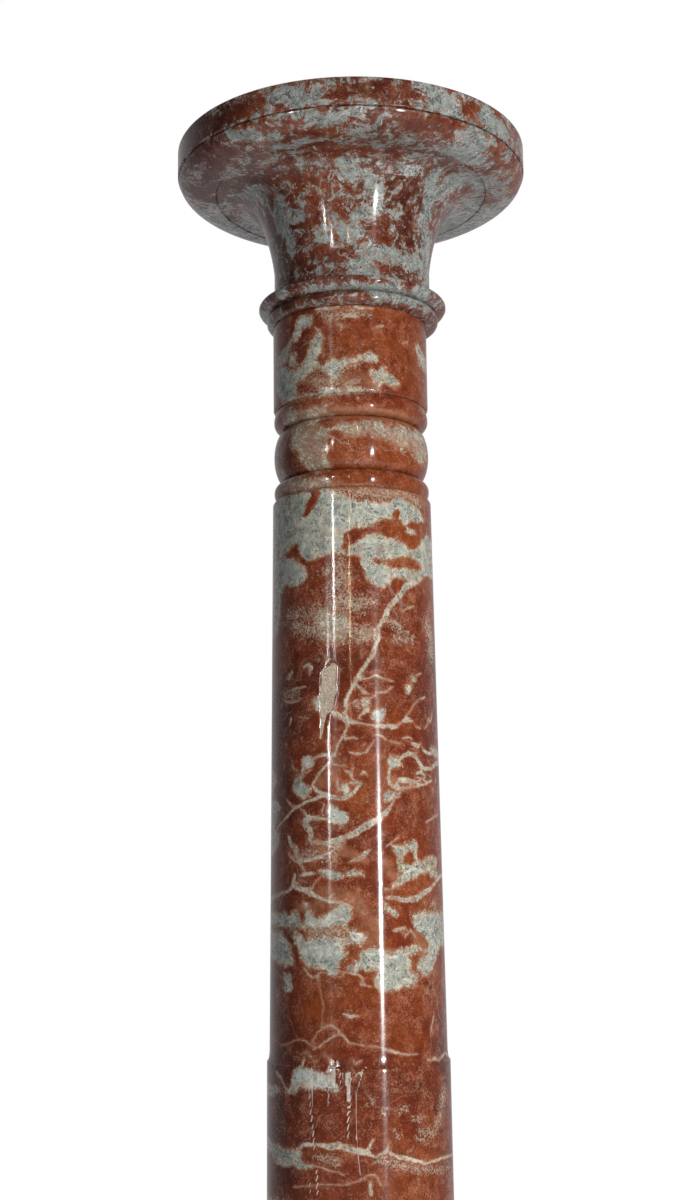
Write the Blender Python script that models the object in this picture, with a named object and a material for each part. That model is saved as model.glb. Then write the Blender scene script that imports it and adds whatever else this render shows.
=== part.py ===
"""Marble column: a round table top on a turned shaft, a moulded base and a square plinth.

Four stones stand on one another along the Z axis. Every stone is modelled from its own bed, at
height 0, and is then set down on the one below it. The shaft's axis is the world's Z axis, and
the origin is the middle of the plinth's underside. All lengths are in metres.
"""

import math

import bmesh
import bpy

# Joints and facets
JOINT_GAP = 0.0003
SEGMENTS = 48
SHARP_ANGLE = math.radians(30)

# Plinth, a square block
PLINTH_HEIGHT = 0.066
PLINTH_MARGIN = 0.030
PLINTH_CHAMFER = 0.003

# Base, turned
BASE_LEDGE = 0.004
BASE_TOP_FILLET = 0.005
SCOTIA_HEIGHT = 0.018
SCOTIA_REACH = 0.016
BASE_MID_FILLET = 0.005
BASE_MID_PROJECTION = 0.003
BASE_TORUS_HEIGHT = 0.036
BASE_TORUS_SETBACK = 0.006
BASE_TORUS_PROJECTION = 0.012
BASE_FOOT_HEIGHT = 0.008
BASE_FOOT_SETBACK = 0.004

# Shaft, its foot and lower drum
FOOT_FILLET = 0.007
FOOT_FLARE_HEIGHT = 0.012
FOOT_PROJECTION = 0.005
DRUM_HEIGHT = 0.2292
DRUM_SPREAD = 0.001
STEP_PROJECTION = 0.002
STEP_FLARE_HEIGHT = 0.0095

# Shaft, its tapering length and the neck mouldings
SHAFT_FOOT_RADIUS = 0.0662
SHAFT_TOP_RADIUS = 0.0619
SHAFT_TAPER_HEIGHT = 0.4112
SHAFT_SHOULDER = 0.003
SHAFT_NOTCH_DEPTH = 0.0041
LOWER_BEAD_HEIGHT = 0.015
WAIST_HEIGHT = 0.0418
UPPER_BEAD_HEIGHT = 0.0161
BAND_INSET = 0.0004
DEEP_NOTCH_DEPTH = 0.009
NECK_RADIUS = 0.0611
NECK_HEIGHT = 0.0689
NECK_SHOULDER = 0.0025
NECK_NOTCH_DEPTH = 0.0026

# Capital
CAPITAL_OFFSET = 0.0023
COLLAR_BEAD_HEIGHT = 0.0102
COLLAR_BEAD_PROJECTION = 0.0062
RING_HEIGHT = 0.0116
RING_PROJECTION = 0.0126
RING_NOTCH_PROJECTION = 0.0023
COLLAR_HEIGHT = 0.0234
COLLAR_RADIUS = 0.0622
COVE_HEIGHT = 0.0666
COVE_RADIAL_POWER = 3.43
COVE_HEIGHT_POWER = 1.28
QUIRK_RISE = 0.0005
QUIRK_WIDTH = 0.0015
OVOLO_HEIGHT = 0.0138
OVOLO_REACH = 0.0293
OVOLO_INSET = 0.001
RIM_HEIGHT = 0.0223
RIM_GROOVE_DEPTH = 0.0015
RIM_GROOVE_HALF_WIDTH = 0.0012
TABLE_RADIUS = 0.140
TABLE_ARRIS = 0.002

MARBLE_ROUGHNESS = 0.16
CAPITAL_COLOUR = (0.36, 0.19, 0.14)
SHAFT_COLOUR = (0.31, 0.11, 0.07)
BASE_COLOUR = (0.28, 0.09, 0.055)
PLINTH_COLOUR = (0.26, 0.08, 0.05)


def elliptic_arc(centre_radius, centre_height, reach, rise, start, end, steps):
    """Points on an ellipse, from the start angle to the end angle, in degrees above outwards."""
    points = []
    for step in range(steps + 1):
        angle = math.radians(start + (end - start) * step / steps)
        radius = centre_radius + reach * math.cos(angle)
        height = centre_height + rise * math.sin(angle)
        points.append((radius, height))
    return points


def bulge(top, bottom, top_radius, crown_radius, bottom_radius, steps):
    """A convex moulding: half an ellipse that stands out between two notches, top to bottom."""
    points = []
    for step in range(steps + 1):
        angle = math.pi * step / steps
        fall = (1 - math.cos(angle)) / 2
        chord_radius = top_radius + (bottom_radius - top_radius) * fall
        radius = chord_radius + (crown_radius - chord_radius) * math.sin(angle)
        points.append((radius, top + (bottom - top) * fall))
    return points


def hollow(top, bottom, inner_radius, outer_radius, steps):
    """A concave quarter that leaves the upper wall straight down and sweeps outwards."""
    reach = inner_radius - outer_radius
    return elliptic_arc(outer_radius, top, reach, bottom - top, 0, 90, steps)


def cove(top, bottom, head_radius, foot_radius, steps):
    """The capital's deep cove: a superellipse that is tight under the table and long below."""
    points = []
    for step in range(steps + 1):
        angle = math.pi / 2 * (1 - step / steps)
        inward = max(math.cos(angle), 0) ** (2 / COVE_RADIAL_POWER)
        upward = math.sin(angle) ** (2 / COVE_HEIGHT_POWER)
        radius = head_radius - (head_radius - foot_radius) * inward
        points.append((radius, bottom + (top - bottom) * upward))
    return points


def drum_radii():
    """The lower drum's radius under the step and at its foot."""
    step_radius = SHAFT_FOOT_RADIUS + STEP_PROJECTION
    return step_radius, step_radius + DRUM_SPREAD


def seat_radius():
    """The radius of the base's bed, a ledge wider than the shaft's foot."""
    return drum_radii()[1] + FOOT_PROJECTION + BASE_LEDGE


def base_radii():
    """The base's wall radius behind its torus, and the torus's crown radius."""
    fillet_radius = seat_radius() + SCOTIA_REACH + BASE_MID_PROJECTION
    wall_radius = fillet_radius + BASE_TORUS_SETBACK
    return wall_radius, wall_radius + BASE_TORUS_PROJECTION


def base_profile():
    wall_radius, crown_radius = base_radii()
    foot_radius = crown_radius - BASE_FOOT_SETBACK
    scotia_radius = seat_radius() + SCOTIA_REACH
    fillet_radius = scotia_radius + BASE_MID_PROJECTION
    torus_top = BASE_FOOT_HEIGHT + BASE_TORUS_HEIGHT
    scotia_bottom = torus_top + BASE_MID_FILLET
    scotia_top = scotia_bottom + SCOTIA_HEIGHT
    bed = scotia_top + BASE_TOP_FILLET
    profile = [(seat_radius(), bed)]
    profile += hollow(scotia_top, scotia_bottom, seat_radius(), scotia_radius, 5)
    profile += [(fillet_radius, scotia_bottom), (fillet_radius, torus_top)]
    profile += bulge(torus_top, BASE_FOOT_HEIGHT, wall_radius, crown_radius, wall_radius, 8)
    profile += [(foot_radius, BASE_FOOT_HEIGHT), (foot_radius, 0)]
    return profile


def shaft_profile():
    """The shaft's outline, from the neck's bed down to the foot."""
    step_radius, drum_radius = drum_radii()
    foot_radius = drum_radius + FOOT_PROJECTION
    band_radius = NECK_RADIUS - BAND_INSET
    deep_radius = band_radius - DEEP_NOTCH_DEPTH
    neck_notch_radius = NECK_RADIUS - NECK_NOTCH_DEPTH
    shaft_notch_radius = SHAFT_TOP_RADIUS - SHAFT_NOTCH_DEPTH

    flare_top = FOOT_FILLET + FOOT_FLARE_HEIGHT
    step = flare_top + DRUM_HEIGHT
    taper_foot = step + STEP_FLARE_HEIGHT
    taper_head = taper_foot + SHAFT_TAPER_HEIGHT
    shaft_notch = taper_head + SHAFT_SHOULDER
    lower_notch = shaft_notch + LOWER_BEAD_HEIGHT
    upper_notch = lower_notch + WAIST_HEIGHT
    neck_notch = upper_notch + UPPER_BEAD_HEIGHT
    neck_foot = neck_notch + NECK_SHOULDER

    profile = [(NECK_RADIUS, neck_notch + NECK_HEIGHT)]
    profile += elliptic_arc(neck_notch_radius, neck_foot, NECK_NOTCH_DEPTH, NECK_SHOULDER, 0, -90, 2)
    profile += bulge(neck_notch, upper_notch, neck_notch_radius, band_radius, deep_radius, 6)
    profile += bulge(upper_notch, lower_notch, deep_radius, band_radius, deep_radius, 10)
    profile += bulge(lower_notch, shaft_notch, deep_radius, band_radius, shaft_notch_radius, 6)
    profile += elliptic_arc(shaft_notch_radius, taper_head, SHAFT_NOTCH_DEPTH, SHAFT_SHOULDER, 90, 0, 2)
    profile += hollow(taper_foot, step, SHAFT_FOOT_RADIUS, step_radius, 3)
    profile += hollow(flare_top, FOOT_FILLET, drum_radius, foot_radius, 3)
    profile += [(foot_radius, 0)]
    return profile


def capital_profile():
    """The capital's outline, from the table's rim down to the bead on the joint."""
    notch_radius = COLLAR_RADIUS + RING_NOTCH_PROJECTION
    ring_radius = COLLAR_RADIUS + RING_PROJECTION
    bead_radius = COLLAR_RADIUS + COLLAR_BEAD_PROJECTION
    ovolo_radius = TABLE_RADIUS - OVOLO_INSET - OVOLO_REACH

    ring_top = COLLAR_BEAD_HEIGHT + RING_HEIGHT
    cove_foot = ring_top + COLLAR_HEIGHT
    cove_head = cove_foot + COVE_HEIGHT
    groove = cove_head - QUIRK_RISE + OVOLO_HEIGHT
    arris_foot = groove + RIM_HEIGHT - TABLE_ARRIS

    profile = elliptic_arc(TABLE_RADIUS - TABLE_ARRIS, arris_foot, TABLE_ARRIS, TABLE_ARRIS, 90, 0, 3)
    profile += [(TABLE_RADIUS, groove + RIM_GROOVE_HALF_WIDTH), (TABLE_RADIUS - RIM_GROOVE_DEPTH, groove)]
    profile += elliptic_arc(ovolo_radius, groove, OVOLO_REACH, OVOLO_HEIGHT, -8, -90, 8)
    profile += cove(cove_head, cove_foot, ovolo_radius - QUIRK_WIDTH, COLLAR_RADIUS, 12)
    profile += bulge(ring_top, COLLAR_BEAD_HEIGHT, COLLAR_RADIUS, ring_radius, notch_radius, 8)
    profile += bulge(COLLAR_BEAD_HEIGHT, 0, notch_radius, bead_radius, COLLAR_RADIUS, 6)
    return profile


def without_repeats(profile):
    """The profile with each point that repeats the one before it left out."""
    kept = profile[:1]
    for point in profile[1:]:
        if math.dist(point, kept[-1]) > JOINT_GAP / 10:
            kept.append(point)
    return kept


def marble(name, colour):
    material = bpy.data.materials.new(name)
    material.use_nodes = True
    shader = material.node_tree.nodes["Principled BSDF"]
    shader.inputs["Base Color"].default_value = (*colour, 1)
    shader.inputs["Roughness"].default_value = MARBLE_ROUGHNESS
    shader.inputs["Metallic"].default_value = 0
    return material


def stone(name, bm, colour, place):
    """Finish a stone's mesh, give it its marble and set it down at its place."""
    mesh = bpy.data.meshes.new(name)
    bmesh.ops.recalc_face_normals(bm, faces=bm.faces)
    bm.to_mesh(mesh)
    bm.free()
    mesh.shade_smooth()
    mesh.set_sharp_from_angle(angle=SHARP_ANGLE)
    mesh.materials.append(marble(name + "_marble", colour))
    piece = bpy.data.objects.new(name, mesh)
    piece.location = place
    bpy.context.scene.collection.objects.link(piece)
    return max(vertex.co.z for vertex in mesh.vertices)


def turned_stone(name, profile, colour, place):
    """Spin a profile about the Z axis, close both ends flat and return the stone's height."""
    bm = bmesh.new()
    points = [bm.verts.new((radius, 0, height)) for radius, height in without_repeats(profile)]
    lines = [bm.edges.new(pair) for pair in zip(points, points[1:])]
    bmesh.ops.spin(
        bm, geom=points + lines, axis=(0, 0, 1), cent=(0, 0, 0),
        angle=math.tau, steps=SEGMENTS, use_merge=True,
    )
    rims = [edge for edge in bm.edges if edge.is_boundary]
    bmesh.ops.holes_fill(bm, edges=rims, sides=SEGMENTS)
    return stone(name, bm, colour, place)


def square_plinth(name, colour):
    """A square block with its edges eased, wider than the base by a margin."""
    half_side = base_radii()[1] + PLINTH_MARGIN
    bm = bmesh.new()
    bmesh.ops.create_cube(bm, size=1)
    for corner in bm.verts:
        corner.co.x *= 2 * half_side
        corner.co.y *= 2 * half_side
        corner.co.z = PLINTH_HEIGHT * (corner.co.z + 0.5)
    bmesh.ops.bevel(
        bm, geom=list(bm.edges), offset=PLINTH_CHAMFER, offset_type="OFFSET",
        segments=1, affect="EDGES", profile=0.5,
    )
    return stone(name, bm, colour, (0, 0, 0))


def build():
    for thing in list(bpy.data.objects):
        bpy.data.objects.remove(thing, do_unlink=True)
    bed = square_plinth("plinth", PLINTH_COLOUR) + JOINT_GAP
    bed += turned_stone("base", base_profile(), BASE_COLOUR, (0, 0, bed)) + JOINT_GAP
    bed += turned_stone("shaft", shaft_profile(), SHAFT_COLOUR, (0, 0, bed)) + JOINT_GAP
    turned_stone("capital", capital_profile(), CAPITAL_COLOUR, (CAPITAL_OFFSET, 0, bed))


build()
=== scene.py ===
"""Turned marble column: the finished stones, their marble, a plain studio and the camera."""

import math

import bpy
import numpy as np
from mathutils import Matrix, Vector


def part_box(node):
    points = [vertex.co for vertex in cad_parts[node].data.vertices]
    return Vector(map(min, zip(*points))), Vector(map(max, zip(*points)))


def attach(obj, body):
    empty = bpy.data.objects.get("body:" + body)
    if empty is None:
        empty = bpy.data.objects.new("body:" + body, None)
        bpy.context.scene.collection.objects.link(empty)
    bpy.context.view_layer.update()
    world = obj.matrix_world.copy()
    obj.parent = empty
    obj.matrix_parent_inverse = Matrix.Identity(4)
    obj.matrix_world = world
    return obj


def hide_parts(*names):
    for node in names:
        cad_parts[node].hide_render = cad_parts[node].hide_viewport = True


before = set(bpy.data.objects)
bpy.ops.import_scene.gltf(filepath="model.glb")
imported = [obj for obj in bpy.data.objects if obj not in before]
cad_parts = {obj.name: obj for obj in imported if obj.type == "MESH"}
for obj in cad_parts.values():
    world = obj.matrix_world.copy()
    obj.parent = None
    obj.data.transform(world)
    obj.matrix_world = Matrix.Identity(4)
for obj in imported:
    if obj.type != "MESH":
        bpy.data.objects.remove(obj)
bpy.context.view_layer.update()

bl_info = {
    "name": "Marble Column",
    "version": (1, 0, 0),
    "blender": (4, 5, 0),
    "location": "View3D > Sidebar > Column",
    "description": "Builds a turned marble column on a square plinth",
    "category": "Add Mesh",
}

MM = 0.001
SHARP_ANGLE = math.radians(30)
WELD = 0.00001

# Marks are placed on the unrolled stone, where degrees become millimetres at these radii.
SHAFT_GIRTH = 64.5
CAPITAL_GIRTH = 80.0
# Degrees round from the front between which the placed marks give way to the loose figure.
SHAFT_FRONT = (74, 95)
CAPITAL_FRONT = (70, 100)
# A mark acts on places within this margin, in millimetres. Beyond it a place is far off.
MARGIN = 14
FAR = 1e6

# How the marble's figure is made up. Scales are per metre and reaches are in metres.
SHAFT_FIGURE = {
    "swirl": 0.013, "mottle_low": -0.15, "mottle_high": 2.15, "speckle_scale": 300, "speckle": 4.4,
    "wander_scale": 60, "wander": 3.8, "loose": -5.3, "halo": 0.78, "lump_low": -0.45, "lump_high": 2.50,
    "fibre": 0.75, "shell": 0.75, "fleck": 0.50, "dark_fleck": 0.45, "maroon": 0.0, "edge": 0.30,
    "cream": -1.2, "tone": (1.0, 1.0, 1.0),
}
# The capital's tone darkens and blues all its marble; the darkening is partly painted shade for its
# underside.
CAPITAL_FIGURE = {
    "swirl": 0.020, "mottle_low": -0.60, "mottle_high": 2.50, "speckle_scale": 250, "speckle": 5.2,
    "wander_scale": 88, "wander": 4.4, "loose": -4.4, "halo": 0.30, "lump_low": -0.60, "lump_high": 2.60,
    "fibre": 0.90, "shell": 0.95, "fleck": 0.35, "dark_fleck": 0.65, "maroon": 0.06, "edge": 0.25,
    "cream": -0.4, "tone": (0.80, 0.81, 0.86),
}

# The camera's place and turn, fitted to the photograph's outline. Angles are in degrees.
PHOTO_HEIGHT_PIXELS = 1200
FOCAL_PIXELS = 1667.2
SENSOR_MM = 36.0
CAMERA_PLACE = Vector((0, -1.2802, 0.5143))
CAMERA_YAW = -0.540
CAMERA_PITCH = 9.727
CAMERA_ROLL = -0.623

# Each light's name, degrees to the right of the front, distance, height and width in metres, share
# of the power, colour, and the height on the column's axis that it is aimed at.
WHITE = (1.0, 1.0, 1.0)
WARM = (1.0, 0.75, 0.4)
SOFT_LIGHTS = (
    ("key", 30, 1.9, 0.8, 0.7, 2.05, (1.0, 0.94, 0.86), 0.65),
    ("fill", -25, 2.2, 0.8, 1.2, 0.03, (0.75, 0.9, 1.0), 0.6),
    ("back", 180, 2.4, 1.2, 1.6, 1.5, WHITE, 0.6),
    ("above", 0, 0.01, 3.0, 0.9, 0.7, WHITE, 0),
)
LAMPS = (
    ("right_lamp", 31.0, 2.2, 0.53, 0.07, 1, WHITE, 0.6),
    ("left_high_lamp", -26.8, 2.2, 1.24, 0.05, 0.25, WHITE, 0.8),
    ("left_low_lamp", -35.0, 2.2, 0.84, 0.05, 0.26, WHITE, 0.7),
    ("faint_lamp", -4.5, 2.2, 1.15, 0.04, 0.07, WARM, 0.8),
    ("ceiling_lamp", 11.5, 2.2, 2.6, 0.05, 0.2, WARM, 0.9),
)


def node_radius(node):
    """Half the width of a round node's box."""
    low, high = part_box(node)
    return (high.x - low.x) / 2


def node_bottom(node):
    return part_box(node)[0].z


def node_top(node):
    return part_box(node)[1].z


# Placed marks in the marble, read off the front of the shaft. A patch is the outline of a cloud,
# as (degrees round from the front, millimetres above the ground). A stroke also has a half width
# in millimetres at each point. On the capital the second number is millimetres along the outline,
# down from the rim's top edge.
NECK_PATCHES = (
    ((-41, 945), (-38, 948), (-34, 947), (-28, 945), (-29, 940), (-35, 939), (-38, 937), (-40, 933),
     (-45, 930), (-50, 929), (-47, 934), (-44, 938)),
    ((-47, 933), (-42, 931), (-46, 928), (-52, 924), (-56, 917), (-61, 914), (-70, 920), (-58, 927)),
    ((-25, 931), (-23, 935), (-21, 934), (-19, 929), (-19, 922), (-21, 916), (-24, 911), (-22, 907),
     (-18, 908), (-14, 911), (-9, 909), (-4, 910), (1, 910), (5, 911), (10, 912), (15, 914),
     (20, 913), (20, 909), (15, 907), (9, 908), (4, 907), (0, 905), (-4, 903), (-7, 900), (-7, 896),
     (-10, 893), (-14, 896), (-18, 899), (-23, 901), (-27, 904), (-31, 902), (-35, 899), (-39, 899),
     (-42, 902), (-38, 905), (-35, 909), (-33, 914), (-31, 921), (-29, 927)),
    ((-70, 914), (-58, 912), (-52, 908), (-46, 905), (-41, 902), (-40, 899), (-43, 895), (-42, 890),
     (-44, 885), (-50, 884), (-62, 888), (-72, 900)),
    ((-52, 915), (-48, 919), (-43, 918), (-44, 913), (-49, 911)),
    ((13, 900), (15, 902), (18, 900), (20, 896), (24, 892), (22, 890), (18, 892), (14, 896)),
    ((20, 899), (24, 904), (26, 904), (26, 898), (30, 898), (34, 895), (38, 895), (38, 892),
     (33, 891), (27, 892), (23, 896)),
    ((-22, 886), (-15, 888), (-8, 887), (-8, 883), (-22, 883)),
    ((-3, 883), (1, 887), (6, 886), (9, 883)),
    ((57, 929), (61, 929), (64, 925), (76, 922), (86, 918), (76, 912), (62, 916)),
)
HEAD_PATCHES = (
    ((-90, 809), (-45, 809), (-31, 807), (-33, 800), (-37, 791), (-36, 788), (-31, 789), (-27, 795),
     (-23, 803), (-21, 809), (-12, 806), (-5, 803), (2, 798), (10, 797), (20, 796), (28, 798),
     (33, 802), (41, 803), (50, 800), (57, 795), (60, 790), (54, 787), (46, 787), (42, 784),
     (39, 784), (37, 788), (36, 794), (32, 795), (29, 791), (27, 787), (20, 786), (16, 784),
     (13, 780), (6, 779), (0, 777), (-5, 773), (-5, 768), (-7, 763), (-4, 757), (-8, 759),
     (-18, 759), (-22, 757), (-26, 755), (-31, 755), (-36, 758), (-40, 762), (-42, 768), (-46, 768),
     (-50, 766), (-54, 766), (-60, 762), (-90, 760)),
    ((-90, 762), (-60, 761), (-53, 759), (-46, 758), (-40, 755), (-36, 750), (-33, 747), (-36, 742),
     (-42, 739), (-48, 738), (-54, 741), (-58, 737), (-62, 728), (-64, 716), (-66, 705), (-90, 700)),
    ((-4, 757), (-2, 762), (0, 765), (5, 767), (8, 771), (14, 773), (20, 773), (24, 772), (28, 771),
     (32, 771), (36, 768), (40, 767), (44, 765), (49, 764), (53, 767), (56, 772), (60, 776),
     (68, 778), (85, 775), (85, 758), (66, 756), (60, 754), (52, 756), (45, 758), (38, 757),
     (32, 756), (26, 754), (20, 755), (14, 756), (8, 754), (4, 758)),
    ((5, 757), (8, 754), (13, 755), (18, 755), (22, 752), (24, 749), (28, 747), (34, 748), (40, 750),
     (46, 749), (52, 749), (58, 752), (66, 755), (85, 755), (85, 747), (66, 748), (60, 747),
     (54, 742), (50, 738), (44, 737), (40, 740), (36, 742), (32, 742), (28, 740), (25, 736),
     (21, 733), (17, 733), (13, 737), (10, 740), (8, 746), (6, 751)),
    ((42, 778), (46, 780), (52, 779), (50, 776), (46, 776)),
)
MIDDLE_PATCHES = (
    ((-28, 649), (-24, 651), (-22, 646), (-22, 641), (-25, 641), (-27, 645)),
    ((-53, 669), (-47, 673), (-47, 668), (-50, 665)),
    ((35, 660), (38, 662), (43, 662), (44, 660), (41, 656), (40, 653), (38, 653), (36, 657)),
    ((41, 664), (44, 668), (47, 666), (48, 664), (44, 662)),
    ((11, 638), (13, 640), (17, 641), (20, 641), (20, 637), (19, 634), (17, 631), (14, 632)),
    ((-37, 604), (-36, 607), (-32, 608), (-29, 606), (-29, 602), (-32, 600), (-36, 601)),
    ((-44, 591), (-40, 593), (-38, 590), (-35, 588), (-32, 587), (-31, 583), (-33, 579), (-38, 577),
     (-42, 578), (-45, 582), (-47, 586)),
    ((-11, 583), (-9, 587), (-6, 588), (-4, 585), (-4, 581), (-8, 580)),
    ((22, 603), (24, 606), (28, 607), (30, 604), (31, 601), (28, 599), (24, 599)),
    ((18, 577), (22, 581), (27, 580), (31, 582), (29, 578), (24, 575), (20, 574)),
    ((-90, 603), (-76, 602), (-68, 597), (-66, 591), (-74, 585), (-90, 583)),
    ((-90, 578), (-70, 577), (-62, 573), (-64, 570), (-70, 562), (-70, 556), (-62, 552), (-61, 546),
     (-66, 542), (-75, 538), (-90, 540)),
    ((62, 615), (70, 616), (88, 613), (88, 606), (70, 610), (63, 612)),
    ((-19, 570), (-16, 572), (-13, 571), (-11, 568), (-8, 568), (-5.5, 566), (-5, 561), (-8, 559),
     (-14, 559), (-18, 561)),
    ((-24, 525), (-20, 526), (-14, 525), (-9, 524), (-8, 521), (-10, 519), (-16, 519), (-22, 521)),
    ((-7, 524), (-3, 525), (4, 525), (4, 522), (-2, 521), (-6, 521)),
    ((24, 543), (30, 544), (36, 546), (42, 546), (44, 541), (43, 534), (41, 534), (40, 538),
     (36, 539), (32, 537), (30, 533), (30, 530), (35, 527), (40, 530), (43, 531), (47, 530),
     (52, 534), (60, 536), (68, 534), (66, 526), (58, 526), (50, 524), (45, 523), (40, 520),
     (35, 517), (30, 515), (27, 511), (19, 511), (22, 515), (28, 519), (31, 523), (28, 529),
     (28, 535), (25, 539)),
    ((54, 525), (60, 526), (66, 524), (70, 520), (64, 519), (58, 520)),
    ((18, 501), (23, 499), (26, 494), (22, 494), (18, 497)),
)
BAND_PATCHES = (
    ((-90, 494), (-65, 494), (-50, 493), (-46, 497), (-41, 497), (-39, 490), (-39, 487), (-47, 488),
     (-60, 486), (-90, 485)),
    ((-37, 488), (-35, 495), (-36, 501), (-32, 501), (-29, 494), (-27, 491), (-22, 492), (-17, 494),
     (-16, 499), (-12, 502), (-6, 499), (-3, 494), (-4, 488), (-6, 484), (-14, 485), (-22, 484),
     (-28, 482), (-34, 484), (-39, 486)),
    ((-43, 479), (-38, 477), (-33, 474), (-28, 478), (-24, 479), (-16, 478), (-9, 478), (-5, 480),
     (-5, 483), (0, 482), (3, 479), (4, 475), (1, 474), (-4, 473), (-7, 470), (-8, 464), (-11, 460),
     (-14, 457), (-15, 452), (-20, 454), (-24, 456), (-30, 458), (-35, 459), (-38, 464),
     (-40, 470), (-42, 475)),
    ((-90, 482), (-66, 482), (-58, 480), (-53, 476), (-50, 470), (-47, 464), (-45, 459), (-50, 457),
     (-58, 458), (-66, 461), (-90, 464)),
    ((2, 466), (5, 468), (10, 471), (18, 469), (26, 468), (32, 470), (39, 472), (43, 470), (40, 467),
     (36, 465), (36, 458), (35, 452), (40, 448), (38, 444), (31, 443), (25, 440), (17, 442),
     (12, 443), (11, 449), (12, 455), (8, 457), (2, 456), (-2, 454), (-4, 456), (0, 460), (4, 462)),
    ((37, 490), (42, 492), (50, 493), (58, 494), (66, 493), (90, 496), (90, 474), (72, 470),
     (64, 466), (60, 460), (56, 453), (49, 450), (43, 453), (42, 457), (46, 460), (50, 462),
     (53, 467), (54, 472), (51, 477), (45, 481), (40, 485)),
)
# A small light block with clean edges.
BLOCK = ((-55, 452), (-47, 452), (-46, 440), (-53, 439))
DRUM_PATCHES = (
    ((-47, 371), (-45, 376), (-44, 381), (-42, 385), (-38, 387), (-33, 387), (-31, 385), (-27, 384),
     (-21, 383), (-18, 381), (-17, 377), (-14, 376), (-14, 373), (-19, 374), (-24, 374), (-28, 373),
     (-32, 374), (-37, 375), (-40, 372), (-43, 370), (-50, 368)),
    ((-90, 335), (-66, 332), (-60, 331), (-52, 330), (-44, 330), (-38, 329), (-40, 324), (-36, 321),
     (-29, 321), (-30, 319), (-38, 318), (-44, 321), (-50, 318), (-57, 317), (-63, 320),
     (-70, 325), (-90, 326)),
    ((-90, 374), (-70, 371), (-62, 373), (-57, 370), (-64, 364), (-90, 362)),
)
RED_ISLANDS = (
    ((-57, 765), (-50, 766), (-45, 768), (-41, 769), (-40, 763), (-37, 758), (-33, 755), (-38, 754),
     (-44, 757), (-52, 759)),
    ((11, 751), (14, 755), (20, 755), (23, 752), (20, 750), (14, 750)),
    ((24, 746), (27, 750), (32, 754), (38, 756), (45, 757), (52, 756), (56, 754), (50, 750),
     (38, 751), (32, 749), (27, 746)),
    ((49, 770), (51, 775), (56, 774), (56, 771)),
    ((38, 767), (42, 771), (47, 769), (50, 766), (46, 764)),
    ((31, 535), (34, 537), (38, 537), (40, 534), (36, 532), (32, 532)),
    ((54, 530), (60, 532), (64, 531), (60, 529)),
    ((-34, 936), (-30, 937), (-30, 933), (-36, 932)),
)

# Tan stains in the ground, as strokes.
STAINS = (
    ((2, 500, 5), (9, 488, 7), (9, 476, 6), (6, 468, 4)),
    ((-24, 512, 5), (-12, 508, 6), (0, 504, 5)),
    ((20, 530, 5), (24, 520, 5)),
    ((-40, 498, 4), (-26, 500, 5), (-14, 504, 4)),
    ((-34, 481, 3), (-18, 482, 3), (-4, 484, 4)),
    ((-26, 588, 5), (-16, 592, 5)),
    ((24, 590, 5), (36, 586, 5)),
    ((-30, 896, 5), (-10, 892, 7), (8, 896, 7), (18, 892, 6)),
    ((24, 896, 5), (36, 892, 5)),
    ((-46, 896, 6), (-30, 908, 5)),
    ((40, 478, 5), (48, 472, 5), (50, 462, 4)),
    ((-30, 545, 4), (-10, 540, 5), (6, 532, 4)),
    ((-20, 870, 6), (20, 868, 6), (60, 866, 5)),
    ((-40, 812, 4), (20, 808, 4), (60, 806, 4)),
)
# Broken, half faded clouds on the beads and the waist.
WAIST_PATCHES = (
    ((-48, 862), (-36, 860), (-24, 860), (-17, 854), (-16, 846), (-19, 838), (-18, 828), (-26, 824),
     (-34, 828), (-40, 838), (-46, 846)),
    ((-12, 856), (-4, 859), (6, 859), (14, 858), (24, 859), (36, 859), (48, 858), (62, 858),
     (76, 855), (76, 838), (60, 838), (46, 842), (36, 844), (26, 847), (16, 849), (8, 850), (-2, 851)),
    ((-85, 858), (-66, 858), (-60, 850), (-60, 838), (-66, 828), (-85, 830)),
    ((-64, 879), (-52, 877), (-38, 874), (-22, 871), (-17, 868), (-24, 865), (-40, 865), (-62, 867)),
    ((-66, 823), (-52, 821), (-38, 820), (-26, 818), (-19, 815), (-26, 812), (-42, 811), (-66, 813)),
    ((-24, 712), (-17, 713), (-10, 710), (-5, 708), (-4, 703), (-8, 700), (-13, 702), (-22, 703)),
    ((-22, 700), (-16, 700), (-9, 698), (-3, 696), (-6, 692), (-13, 692), (-19, 694)),
    ((4, 697), (6, 702), (10, 703), (14, 700), (14, 695), (9, 692), (5, 692)),
)
HAZE_PATCHES = (
    ((-30, 904), (-20, 900), (-8, 896), (4, 900), (10, 906), (4, 908), (-6, 904), (-16, 908)),
)
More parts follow.
